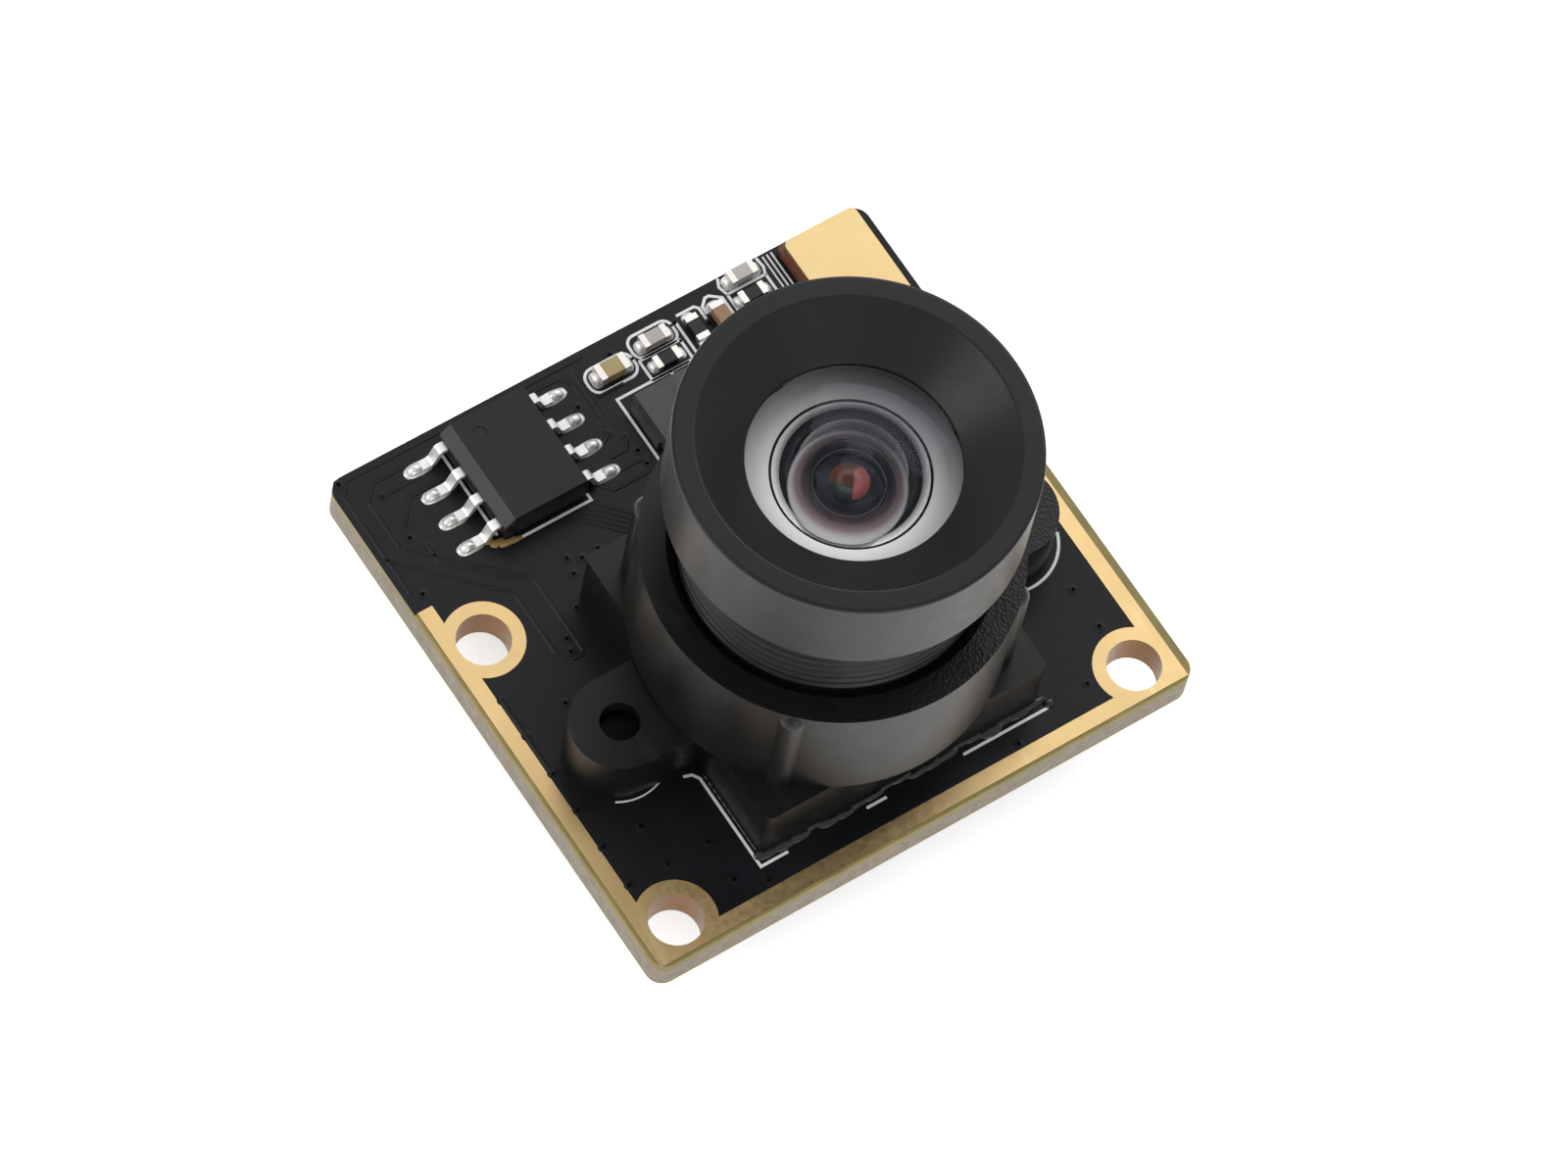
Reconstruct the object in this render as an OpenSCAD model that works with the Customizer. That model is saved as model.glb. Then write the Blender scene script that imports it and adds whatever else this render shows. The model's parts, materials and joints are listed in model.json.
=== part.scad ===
// Fixed-board camera module with a wide-angle M12 lens.
// Frame: +Z up along the lens axis, +X along the 25 mm side, +Y towards the ribbon connector.
// z = 0 is the underside of the ribbon connector; x = y = 0 is the middle of the board outline.

/* [Circuit board] */
// Board size across the mounting-hole pairs
board_w = 25; // [24:0.5:30]
// Board size towards the ribbon connector
board_d = 24; // [24:0.5:30]
// Thickness of the glass-fibre core
core_t = 1.52; // [0.8:0.1:2.4]
// Thickness of copper, plating and solder mask on each face
skin_t = 0.04; // [0.03:0.01:0.08]
// Corner radius of the board outline
board_corner_r = 0.7; // [0.3:0.1:1.5]
// Mounting-hole diameter, plated
hole_d = 2.2; // [2:0.05:2.4]
// Mounting-hole spacing along X
hole_pitch_x = 21.3; // [20.5:0.1:21.4]
// Mounting-hole spacing along Y
hole_pitch_y = 13.7; // [12.5:0.1:14.5]
// Distance of the lower hole pair from the lower board edge
hole_edge_y = 1.55; // [1.4:0.05:2]
// Wall of the plated barrel in each mounting hole
barrel_wall = 0.04; // [0.03:0.01:0.08]
// Diameter of the ring pad round each mounting hole
ring_d = 3.3; // [3:0.1:3.6]
// Width of the gold-plated band along three edges
band_w = 0.66; // [0.4:0.02:0.9]
// Bare margin between the band and the board edge
band_margin = 0.14; // [0.05:0.01:0.25]
// How far the holes and the copper sit off the middle of the routed outline
art_shift_x = -0.1; // [-0.15:0.05:0.15]
// Length of the band's two side runs, from the lower board edge
band_run = 17.5; // [16:0.5:19]

/* [Lens holder] */
// Distance of the lens axis from the lower board edge
axis_edge_y = 8.69; // [8.4:0.01:10]
// Side of the holder's square base block
block_w = 13; // [12.6:0.1:13.6]
// Height of the base block above the board
block_h = 3; // [2.6:0.1:3.6]
// Wall of the base block round the sensor chamber
block_wall = 1.2; // [0.8:0.1:1.4]
// Outer diameter of the holder's round tower
tower_d = 14.9; // [14.4:0.1:15.4]
// Height of the tower's rim above the board
tower_h = 8.7; // [7.5:0.1:9.5]
// Nominal thread diameter shared by the lens and the holder
thread_d = 12; // [11.8:0.1:12.4]
// Radial running clearance of the thread
thread_clear = 0.04; // [0.02:0.01:0.08]
// Thickness of the ledge over the sensor chamber
ledge_t = 1; // [0.6:0.1:1.4]
// Side of the square light window in the ledge
window_w = 6.6; // [5.5:0.1:7]
// Distance between the two screw ears' holes
ear_pitch = 18; // [17.6:0.1:18.6]
// Radius of the ears' round ends
ear_r = 2; // [1.7:0.1:2.3]
// Height of the ears above the board
ear_h = 2.7; // [2:0.1:3]
// Diameter of the pilot holes in the ears
pilot_d = 1.6; // [1.3:0.1:1.8]
// Radius of the four upright ribs on the tower
rib_r = 0.55; // [0.3:0.05:0.7]
// Recess of the rim's edge behind the rounded lead-in of the bore
lead_in = 0.35; // [0.1:0.05:0.5]

/* [Lens] */
// Diameter of the lens head
head_d = 14.04; // [13:0.1:15]
// Height of the head's front rim above the board
head_top_h = 17.3; // [16.5:0.1:18.5]
// Length of the head
head_l = 4.3; // [3.9:0.1:5]
// Depth that the threaded neck reaches below the head
neck_l = 8; // [7:0.1:8.4]
// Width of the flat front rim
rim_w = 0.87; // [0.6:0.05:1.2]
// Diameter of the clear opening at the foot of the hood
hood_throat_d = 8.24; // [7.6:0.05:8.4]
// Depth of the conical hood
hood_depth = 1.6; // [1.2:0.1:1.9]
// Thickness of the lip that holds the front glass
hood_lip_t = 0.16; // [0.1:0.02:0.3]
// Diameter of the barrel's bore for the glass stack
stack_bore_d = 8.9; // [8.6:0.1:9.2]
// Clearance of the glass stack in its bore
stack_clear = 0.04; // [0.02:0.01:0.06]
// Height of the front glass's domed face above its rim
dome_h = 0.8; // [0.3:0.05:0.9]
// Edge thickness of the front glass
front_edge_t = 1.55; // [1.3:0.05:1.9]
// Radius of the hollow in the back of the front glass
front_bowl_r = 3.1; // [3.0:0.05:3.4]
// Radius of the hollow's mouth
front_mouth_r = 2.85; // [2.6:0.05:2.95]
// Diameter of the smaller glasses
small_glass_d = 6.2; // [5.6:0.1:6.6]
// Diameter of the hole in the aperture stop
stop_hole_d = 1.9; // [1.2:0.1:2.4]

/* [Sensor and filter] */
// Size of the image sensor package
sensor_size = 7.4; // [6:0.1:8]
// Thickness of the image sensor package
sensor_t = 0.55; // [0.4:0.05:0.8]
// Thickness of the sensor's cover glass
cover_t = 0.4; // [0.3:0.05:0.5]
// Side of the infrared filter
filter_w = 8.4; // [7.6:0.1:9]
// Thickness of the infrared filter
filter_t = 0.3; // [0.2:0.05:0.5]

/* [Memory chip] */
// Width of the moulded chip body
chip_w = 3.9; // [3.7:0.1:4.1]
// Length of the moulded chip body
chip_l = 4.75; // [4.6:0.05:5]
// Height of the chip's top face above the board
chip_h = 1.5; // [1.3:0.05:1.7]
// Distance between neighbouring chip leads
lead_pitch = 1.29; // [1.2:0.01:1.3]
// Width of a chip lead
lead_w = 0.42; // [0.3:0.02:0.5]
// Distance across the tips of opposite leads
lead_span = 6; // [5.6:0.1:6.4]

/* [Ribbon connector] */
// Height of the connector below the board
conn_h = 2.4; // [2.4:0.1:2.8]
// Number of contacts
contact_count = 15; // [9:1:15]
// Distance between neighbouring contacts
contact_pitch = 1; // [0.9:0.05:1]
// Plastic beyond the contact row at each end
conn_end = 3.4; // [3:0.1:3.6]
// Depth of the housing
conn_d = 5; // [4.6:0.1:5.4]
// Depth of the latch's cross bar
latch_d = 1.3; // [1:0.1:1.5]
// Gap that the latch slides in
latch_clear = 0.05; // [0.03:0.01:0.1]
// Distance of the latch from the upper board edge
latch_setback = 0.3; // [0.1:0.1:1]

/* [Screws] */
// Diameter of the holder screws' heads
screw_head_d = 3; // [2.6:0.1:3.2]
// Height of the screw heads
screw_head_h = 0.9; // [0.6:0.1:1.1]
// Length of the screws below the head
screw_l = 3.6; // [3:0.1:4]

/* [Hidden] */
$fn = 96;
cut = 0.2;

// Levels, from the underside of the connector upwards
back_z = conn_h;
core_bottom_z = back_z + skin_t;
core_top_z = core_bottom_z + core_t;
top_z = core_top_z + skin_t;
board_t = core_t + 2 * skin_t;

// Places measured from the board's lower and left edges
function from_left(x) = x - board_w / 2;
function from_low(y) = y - board_d / 2;
function from_right(x) = board_w / 2 - x;
function from_high(y) = board_d / 2 - y;

axis_y = from_low(axis_edge_y);
hole_x = hole_pitch_x / 2;
hole_y0 = from_low(hole_edge_y);
hole_y1 = hole_y0 + hole_pitch_y;
hole_places = [for (sx = [-1, 1]) for (y = [hole_y0, hole_y1]) [art_shift_x + sx * hole_x, y]];
ear_places = [for (sx = [-1, 1]) [sx * ear_pitch / 2, axis_y]];
screw_slack = 0.1;
mask_gap = 0.02;
plating_gap = 0.01;
screw_r = pilot_d / 2 - 0.05;

module rounded_plate(w, d, r) {
    square([w, d - 2 * r], center = true);
    square([w - 2 * r, d], center = true);
    for (x = [-1, 1]) for (y = [-1, 1])
        translate([x * (w / 2 - r), y * (d / 2 - r)]) circle(r);
}
module at_each(places) for (p = places) translate(p) children();
module board_outline() rounded_plate(board_w, board_d, board_corner_r);
module screw_holes() at_each(ear_places) circle(screw_r + screw_slack);

// ---- circuit board ----
module circuit_board() color([0.55, 0.5, 0.25])
    translate([0, 0, core_bottom_z]) linear_extrude(core_t) difference() {
        board_outline();
        at_each(hole_places) circle(hole_d / 2 + barrel_wall + plating_gap);
        screw_holes();
    }

// The copper left bare of mask: a band along three edges that joins the ring pads.
// grow widens it for the opening in the mask.
art_w = board_w - 2 * (band_margin + abs(art_shift_x));
art_d = board_d - 2 * band_margin;
module band_2d(grow) difference() {
    translate([art_shift_x - art_w / 2 - grow, -art_d / 2 - grow])
        square([art_w + 2 * grow, band_run - band_margin + 2 * grow]);
    translate([art_shift_x - art_w / 2 + band_w + grow, -art_d / 2 + band_w + grow])
        square([art_w - 2 * band_w - 2 * grow, board_d]);
}
module rings_2d(grow) intersection() {
    at_each(hole_places) circle(ring_d / 2 + grow);
    translate([art_shift_x, 0]) square([art_w + 2 * grow, art_d + 2 * grow], center = true);
}
module gold_2d(grow) { band_2d(grow); rings_2d(grow); }

module gold_plating() color([0.85, 0.68, 0.35]) difference() {
    union() {
        translate([0, 0, core_top_z]) linear_extrude(skin_t) gold_2d(0);
        translate([0, 0, back_z]) linear_extrude(skin_t) rings_2d(0);
        translate([0, 0, core_bottom_z - skin_t / 2]) linear_extrude(core_t + skin_t)
            at_each(hole_places) circle(hole_d / 2 + barrel_wall);
    }
    translate([0, 0, back_z - cut]) linear_extrude(board_t + 2 * cut)
        at_each(hole_places) circle(hole_d / 2);
}

// Everything outside the band stays bare glass fibre
module bare_margin_2d() difference() {
    translate([from_left(-cut), from_low(-cut)]) square([board_w + 2 * cut, band_run + cut]);
    translate([art_shift_x - art_w / 2 + band_w / 2, -art_d / 2 + band_w / 2])
        square([art_w - band_w, board_d]);
}
module front_solder_mask() color([0.06, 0.06, 0.07])
    translate([0, 0, core_top_z]) linear_extrude(skin_t) difference() {
        board_outline();
        bare_margin_2d();
        gold_2d(mask_gap);
        screw_holes();
    }
module back_solder_mask() color([0.06, 0.06, 0.07])
    translate([0, 0, back_z]) linear_extrude(skin_t) difference() {
        board_outline();
        rings_2d(mask_gap);
        screw_holes();
    }

// ---- lens holder ----
chamber_h = block_h - ledge_t;
bore_r = thread_d / 2 + thread_clear;
block_corner_r = 0.35;
rib_top_z = tower_h - rib_r - 0.1;
module holder_outside() {
    linear_extrude(block_h) rounded_plate(block_w, block_w, block_corner_r);
    translate([0, 0, block_h]) cylinder(d = tower_d, h = tower_h - block_h);
    for (side = [-1, 1]) linear_extrude(ear_h) {
        translate([side * ear_pitch / 2, 0]) circle(ear_r);
        translate([side * ear_pitch / 4, 0]) square([ear_pitch / 2, 2 * ear_r], center = true);
    }
    for (a = [45:90:315]) rotate(a) translate([tower_d / 2 - rib_r / 2, 0, 0]) {
        translate([0, 0, block_h - cut]) cylinder(r = rib_r, h = rib_top_z - block_h + cut);
        translate([0, 0, rib_top_z]) sphere(rib_r);
    }
}
module lens_holder() color([0.09, 0.09, 0.09]) translate([0, axis_y, top_z]) difference() {
    holder_outside();
    // threaded bore with its lead-in
    translate([0, 0, block_h]) cylinder(r = bore_r, h = tower_h);
    translate([0, 0, tower_h - lead_in]) cylinder(r1 = bore_r, r2 = bore_r + lead_in * 1.01, h = lead_in * 1.01);
    // light window and sensor chamber
    translate([0, 0, block_h / 2 + chamber_h / 2]) cube([window_w, window_w, block_h], center = true);
    chamber_w = block_w - 2 * block_wall;
    translate([0, 0, chamber_h / 2 - cut / 2]) cube([chamber_w, chamber_w, chamber_h + cut], center = true);
    // pilot holes, open at both ends
    for (side = [-1, 1]) translate([side * ear_pitch / 2, 0, -cut]) cylinder(d = pilot_d, h = ear_h + 2 * cut);
}

// ---- lens ----
head_z = top_z + head_top_h;
head_foot_z = head_z - head_l;
neck_end_z = head_foot_z - neck_l;
throat_r = hood_throat_d / 2;
throat_z = head_z - hood_depth;
stack_bore_r = stack_bore_d / 2;
stack_top_z = throat_z - hood_lip_t;
edge_break = 0.12;
module lens_barrel() color([0.12, 0.12, 0.12]) translate([0, axis_y, 0]) rotate_extrude()
    polygon([
        [stack_bore_r, neck_end_z],
        [thread_d / 2 - 2 * edge_break, neck_end_z],
        [thread_d / 2, neck_end_z + 2 * edge_break],
        [thread_d / 2, head_foot_z],
        [head_d / 2 - edge_break, head_foot_z],
        [head_d / 2, head_foot_z + edge_break],
        [head_d / 2, head_z - edge_break],
        [head_d / 2 - edge_break, head_z],
        [head_d / 2 - rim_w, head_z],
        [throat_r, throat_z],
        [throat_r, stack_top_z],
        [stack_bore_r, stack_top_z]
    ]);

// The glasses, from the front backwards; each lies against the next
glass_r = stack_bore_r - stack_clear;
front_rim_z = stack_top_z - stack_clear;
front_back_z = front_rim_z - front_edge_t;
spacer_t = 0.7;
second_top_z = front_back_z - spacer_t;
second_t = 1.3;
second_back_z = second_top_z - second_t;
stop_t = 0.5;
stop_z = second_back_z - stop_t;
third_t = 1.8;
third_z = stop_z - third_t;
fourth_t = 1.5;
fourth_z = third_z - fourth_t;
small_r = small_glass_d / 2;

function arc_points(r, from_a, to_a, n) =
    [for (i = [0:n]) let (a = from_a + (to_a - from_a) * i / n) r * [cos(a), sin(a)]];
// Radius of the sphere through a rim of radius e that rises h in the middle
function cap_r(e, h) = (e * e + h * h) / (2 * h);
// One half of a lens section: a domed front, a flat or hollow back
module cap_section(e, h, z) {
    r = cap_r(e, h);
    translate([0, z + h - r]) intersection() {
        circle(r);
        translate([0, r - h]) square([e, h + 1]);
    }
}

module front_glass() color([0.75, 0.8, 0.85]) translate([0, axis_y, 0]) rotate_extrude()
    difference() {
        union() {
            translate([0, front_back_z]) square([glass_r, front_edge_t]);
            cap_section(throat_r - stack_clear, dome_h, front_rim_z);
        }
        bowl_drop = sqrt(front_bowl_r * front_bowl_r - front_mouth_r * front_mouth_r);
        intersection() {
            translate([0, front_back_z - bowl_drop]) circle(front_bowl_r);
            translate([0, front_back_z - cut]) square([front_bowl_r + 1, front_bowl_r + 1]);
        }
    }
// Black ring between the first two glasses, which also centres the second one
module glass_spacer() color([0.05, 0.05, 0.05]) translate([0, axis_y, 0]) rotate_extrude()
    difference() {
        translate([small_r - 0.35, second_back_z])
            square([glass_r - small_r + 0.35, front_back_z - second_back_z]);
        translate([0, second_back_z - cut]) square([small_r + stack_clear / 2, second_t + cut]);
    }
module second_glass() color([0.75, 0.8, 0.85]) translate([0, axis_y, 0]) rotate_extrude()
    difference() {
        union() {
            translate([0, second_back_z]) square([small_r, second_t]);
            cap_section(small_r - 0.4, 0.45, second_top_z);
        }
        second_bowl_r = 2.4;
        translate([0, second_back_z - second_bowl_r + 0.9]) intersection() {
            circle(second_bowl_r);
            square([second_bowl_r + 1, second_bowl_r + 1]);
        }
    }
module aperture_stop() color([0.05, 0.05, 0.05]) translate([0, axis_y, stop_z])
    difference() {
        cylinder(r = glass_r, h = stop_t);
        translate([0, 0, stop_t / 2]) cylinder(r1 = stop_hole_d / 2, r2 = small_r - 1, h = stop_t / 2 + 0.01);
        translate([0, 0, -cut]) cylinder(d = stop_hole_d, h = stop_t + 2 * cut);
    }
module third_glass() color([0.75, 0.8, 0.85])
    translate([0, axis_y, third_z]) cylinder(r = glass_r, h = third_t);
module fourth_glass() color([0.7, 0.75, 0.85]) translate([0, axis_y, 0]) rotate_extrude() {
    translate([0, fourth_z]) square([glass_r, fourth_t]);
    mirror([0, 1]) cap_section(small_r - 0.2, 0.5, -fourth_z);
}
module retaining_ring() color([0.07, 0.07, 0.07])
    translate([0, axis_y, neck_end_z]) difference() {
        cylinder(r = glass_r, h = fourth_z - neck_end_z);
        translate([0, 0, -cut]) cylinder(r = small_r, h = fourth_z - neck_end_z + 2 * cut);
    }

// ---- sensor and filter, inside the holder's chamber ----
module on_axis_block(w, d, h, z) translate([-w / 2, axis_y - d / 2, z]) cube([w, d, h]);
module image_sensor() color([0.2, 0.2, 0.22]) on_axis_block(sensor_size, sensor_size - 0.8, sensor_t, top_z);
module sensor_cover_glass() color([0.5, 0.6, 0.6])
    on_axis_block(sensor_size - 0.4, sensor_size - 1.2, cover_t, top_z + sensor_t);
module infrared_filter() color([0.5, 0.75, 0.8])
    on_axis_block(filter_w, filter_w, filter_t, top_z + chamber_h - filter_t);

// ---- memory chip ----
chip_x = from_left(6.6);
chip_y = from_low(20.83);
chip_gap = 0.12;
lead_t = 0.2;
lead_exit_h = 0.72;
chip_bevel = 0.42;
draft = 0.1;
module memory_chip() color([0.13, 0.13, 0.14]) difference() {
    translate([chip_x, chip_y + chip_l / 2, top_z]) rotate([90, 0, 0]) linear_extrude(chip_l)
        polygon([
            [-chip_w / 2 + draft, chip_gap], [chip_w / 2 - draft, chip_gap],
            [chip_w / 2, lead_exit_h], [chip_w / 2, lead_exit_h + lead_t],
            [chip_w / 2 - draft, chip_h], [-chip_w / 2 + chip_bevel + draft / 2, chip_h],
            [-chip_w / 2 + draft / 3, lead_exit_h + 2 * lead_t],
            [-chip_w / 2, lead_exit_h + lead_t], [-chip_w / 2, lead_exit_h]
        ]);
    // shallow round mark beside the first lead
    translate([chip_x - chip_w / 2 + 1.25, chip_y + chip_l / 2 - 0.9, top_z + chip_h - 0.04])
        cylinder(r = 0.3, h = cut);
}
// One bent lead, drawn in section from the chip's side outwards
foot_l = 0.6;
module lead_section() polygon([
    [chip_w / 2, lead_exit_h], [chip_w / 2 + 0.2, lead_exit_h],
    [lead_span / 2 - foot_l, 0.14], [lead_span / 2 - foot_l + 0.14, 0],
    [lead_span / 2, 0], [lead_span / 2, lead_t],
    [lead_span / 2 - foot_l + 0.24, lead_t], [lead_span / 2 - foot_l + 0.16, 0.28],
    [chip_w / 2 + 0.38, lead_exit_h + lead_t - 0.08], [chip_w / 2 + 0.28, lead_exit_h + lead_t],
    [chip_w / 2, lead_exit_h + lead_t]
]);
module chip_leads() color([0.75, 0.75, 0.74])
    for (side = [0, 1]) for (i = [-1.5:1:1.5])
        translate([chip_x, chip_y + i * lead_pitch + lead_w / 2, top_z]) mirror([side, 0, 0])
            rotate([90, 0, 0]) linear_extrude(lead_w) lead_section();

// ---- small parts ----
// A chip resistor or capacitor: its end caps stand slightly proud of the body
cap_proud = 0.02;
module chip_part(l, w, h, end_l) {
    translate([-l / 2 + end_l / 2, -w / 2 + cap_proud, cap_proud])
        cube([l - end_l, w - 2 * cap_proud, h - 2 * cap_proud]);
    for (side = [-1, 1]) translate([side * (l / 2 - end_l / 2), 0, h / 2])
        cube([end_l, w, h], center = true);
}
module front_part(x, y, turn) translate([from_left(x), from_low(y), top_z]) rotate(turn) children();
module high_part(x, y, turn) translate([from_left(x), from_high(y), top_z]) rotate(turn) children();
cap_l = 1.2; cap_w = 0.6; cap_h = 0.55; cap_end = 0.25;
res_l = 1.15; res_w = 0.55; res_h = 0.36; res_end = 0.25;
module capacitor_1() color([0.6, 0.5, 0.32]) high_part(12.3, 1.46, 0) chip_part(1.35, 0.72, 0.6, 0.28);
module capacitor_2() color([0.65, 0.62, 0.6]) high_part(14.5, 1.13, 0) chip_part(cap_l, cap_w, cap_h, cap_end);
module capacitor_3() color([0.5, 0.36, 0.24]) high_part(17.38, 1.66, 90) chip_part(cap_l, cap_w, cap_h, cap_end);
module capacitor_4() color([0.6, 0.57, 0.56]) high_part(19.05, 0.45, 0) chip_part(cap_l, cap_w, cap_h, cap_end);
module resistor_1() color([0.12, 0.12, 0.13]) high_part(14.5, 2.1, 0) chip_part(res_l, res_w, res_h, res_end);
module resistor_2() color([0.12, 0.12, 0.13]) high_part(16.25, 1.56, 90) chip_part(res_l, res_w, res_h, res_end);
module resistor_3() color([0.12, 0.12, 0.13]) high_part(19.0, 1.38, 0) chip_part(res_l, res_w, res_h, res_end);

inductor_w = 2.4; inductor_d = 2.3; inductor_h = 1;
module power_inductor() color([0.3, 0.3, 0.31]) high_part(12.22 + inductor_w / 2, 4.25, 0) {
    translate([-inductor_w / 2, -inductor_d / 2, 0.1]) cube([inductor_w, inductor_d, inductor_h - 0.1]);
    for (side = [-1, 1]) translate([side * (inductor_w / 2 + 0.04), 0, 0.25])
        cube([0.28, inductor_d - 0.4, 0.5], center = true);
}

osc_w = 3.6; osc_d = 4.6; osc_base_h = 0.45; osc_lid_h = 0.85; osc_step = 0.12;
module osc_place() translate([from_left(22.7), from_high(2.5), top_z]) children();
module oscillator_base() color([0.33, 0.2, 0.13]) osc_place()
    linear_extrude(osc_base_h) rounded_plate(osc_w, osc_d, 0.15);
module oscillator_lid() color([0.85, 0.72, 0.42]) osc_place()
    translate([0, 0, osc_base_h]) linear_extrude(osc_lid_h - osc_base_h)
        rounded_plate(osc_w - 2 * osc_step, osc_d - 2 * osc_step, 0.3);

// ---- holder screws, driven in from the back ----
recess_d = 1.3;
module holder_screws() color([0.6, 0.6, 0.6]) at_each(ear_places) difference() {
    union() {
        translate([0, 0, back_z]) cylinder(r = screw_r, h = screw_l);
        translate([0, 0, back_z - screw_head_h]) cylinder(d = screw_head_d, h = screw_head_h);
    }
    // cross recess
    for (a = [0, 90]) rotate(a) translate([0, 0, back_z - screw_head_h])
        cube([recess_d, 0.3, 0.9], center = true);
}

// ---- ribbon connector on the back ----
row_w = (contact_count - 1) * contact_pitch;
conn_w = row_w + 2 * conn_end;
latch_y = from_high(latch_setback) - latch_d;
conn_front_y = latch_y - latch_clear;
conn_back_y = conn_front_y - conn_d;
slot_w = row_w + 2.1;
slot_low_z = 0.7;
slot_high_z = 1.8;
slot_depth = 3.7;
contact_w = 0.3;
tongue_t = 0.45;
tongue_l = 3;
module housing_section() polygon([
    [conn_back_y, 0.5], [conn_back_y + 0.5, 0], [conn_front_y, 0],
    [conn_front_y, conn_h], [conn_back_y, conn_h]
]);
module connector_housing() color([0.9, 0.87, 0.78]) difference() {
    translate([-conn_w / 2, 0, 0]) rotate([90, 0, 90]) linear_extrude(conn_w) housing_section();
    translate([-slot_w / 2, conn_front_y - slot_depth, slot_low_z])
        cube([slot_w, slot_depth + cut, slot_high_z - slot_low_z]);
    // grooves for the contacts, open to the slot and to the back
    for (i = [0:contact_count - 1])
        translate([i * contact_pitch - row_w / 2 - contact_w / 2, conn_back_y - cut, slot_high_z - 0.01])
            cube([contact_w, conn_d - 0.6 + cut, 0.31]);
}
module connector_contacts() color([0.8, 0.75, 0.6])
    for (i = [0:contact_count - 1])
        translate([i * contact_pitch - row_w / 2 - contact_w / 2 + 0.02, 0, 0])
            rotate([90, 0, 90]) linear_extrude(contact_w - 0.04) polygon([
                [conn_back_y - 0.9, conn_h], [conn_back_y - 0.9, conn_h - 0.15],
                [conn_back_y - 0.2, conn_h - 0.15], [conn_back_y - 0.05, slot_high_z + 0.02],
                [conn_front_y - 1.4, slot_high_z + 0.02], [conn_front_y - 1.2, slot_high_z - 0.14],
                [conn_front_y - 0.9, slot_high_z - 0.14], [conn_front_y - 0.7, slot_high_z + 0.02],
                [conn_front_y - 0.7, slot_high_z + 0.28], [conn_back_y - 0.02, slot_high_z + 0.28],
                [conn_back_y - 0.02, conn_h]
            ]);
module connector_tabs() color([0.75, 0.75, 0.72]) for (side = [0, 1]) mirror([side, 0, 0])
    translate([conn_w / 2, conn_back_y + 0.4, conn_h - 1.1]) {
        cube([0.15, 1.9, 1.1]);
        translate([0, 0, 0.95]) cube([0.95, 1.9, 0.15]);
    }
latch_arm_l = 2.2;
module connector_latch() color([0.1, 0.1, 0.1]) difference() {
    union() {
        translate([-conn_w / 2, latch_y, 0.1]) cube([conn_w, latch_d, conn_h - 0.3]);
        translate([-slot_w / 2 + latch_clear, latch_y - tongue_l, slot_low_z + latch_clear])
            cube([slot_w - 2 * latch_clear, tongue_l + cut, tongue_t]);
        for (side = [0, 1]) mirror([side, 0, 0])
            translate([conn_w / 2 + latch_clear, latch_y - latch_arm_l, 0.5])
                cube([0.5, latch_arm_l + latch_d, 1]);
        translate([-conn_w / 2 - latch_clear, latch_y, 0.5]) cube([conn_w + 2 * latch_clear, latch_d, 1]);
    }
    // the ribbon's way through the bar
    translate([-slot_w / 2 + 0.2, latch_y - cut, slot_low_z + latch_clear + tongue_t])
        cube([slot_w - 0.4, latch_d + 2 * cut, 0.5]);
}

// ---- supply parts on the back ----
reg_w = 2.9; reg_d = 1.6; reg_h = 1.1;
reg_y = 1.2;
reg_places = [[-5, reg_y], [5, reg_y]];
module regulator_body(place) color([0.12, 0.12, 0.12])
    translate([place[0] - reg_w / 2, place[1], back_z]) rotate([90, 0, 90]) linear_extrude(reg_w) polygon([
        [-reg_d / 2 + draft, -reg_h], [reg_d / 2 - draft, -reg_h], [reg_d / 2, -0.5],
        [reg_d / 2 - draft, -0.05], [-reg_d / 2 + draft, -0.05], [-reg_d / 2, -0.5]
    ]);
module regulator_1() regulator_body(reg_places[0]);
module regulator_2() regulator_body(reg_places[1]);
module regulator_lead() rotate([90, 0, 90]) linear_extrude(0.4) polygon([
    [reg_d / 2, -0.42], [reg_d / 2 + 0.2, -0.42], [reg_d / 2 + 0.34, 0], [reg_d / 2 + 0.65, 0],
    [reg_d / 2 + 0.65, -0.13], [reg_d / 2 + 0.42, -0.13], [reg_d / 2 + 0.28, -0.56], [reg_d / 2, -0.56]
]);
module regulator_leads() color([0.75, 0.75, 0.74]) for (p = reg_places) {
    for (i = [-1:1]) translate([p[0] + i * 0.95 - 0.2, p[1], back_z]) regulator_lead();
    for (i = [-1, 1]) translate([p[0] + i * 0.95 - 0.2, p[1], back_z]) mirror([0, 1, 0]) regulator_lead();
}
back_cap_x = 8.3;
back_cap_step = 1.6;
module back_capacitor(side, row) color([0.55, 0.45, 0.3])
    translate([side * back_cap_x, reg_y - 0.6 + row * back_cap_step, back_z]) mirror([0, 0, 1])
        chip_part(cap_l, cap_w, cap_h, cap_end);
module back_capacitor_1() back_capacitor(-1, 0);
module back_capacitor_2() back_capacitor(-1, 1);
module back_capacitor_3() back_capacitor(1, 0);
module back_capacitor_4() back_capacitor(1, 1);

circuit_board();
gold_plating();
front_solder_mask();
back_solder_mask();
lens_holder();
lens_barrel();
front_glass();
glass_spacer();
second_glass();
aperture_stop();
third_glass();
fourth_glass();
retaining_ring();
infrared_filter();
image_sensor();
sensor_cover_glass();
memory_chip();
chip_leads();
capacitor_1();
capacitor_2();
capacitor_3();
capacitor_4();
resistor_1();
resistor_2();
resistor_3();
power_inductor();
oscillator_base();
oscillator_lid();
holder_screws();
connector_housing();
connector_latch();
connector_contacts();
connector_tabs();
regulator_1();
regulator_2();
regulator_leads();
back_capacitor_1();
back_capacitor_2();
back_capacitor_3();
back_capacitor_4();
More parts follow.
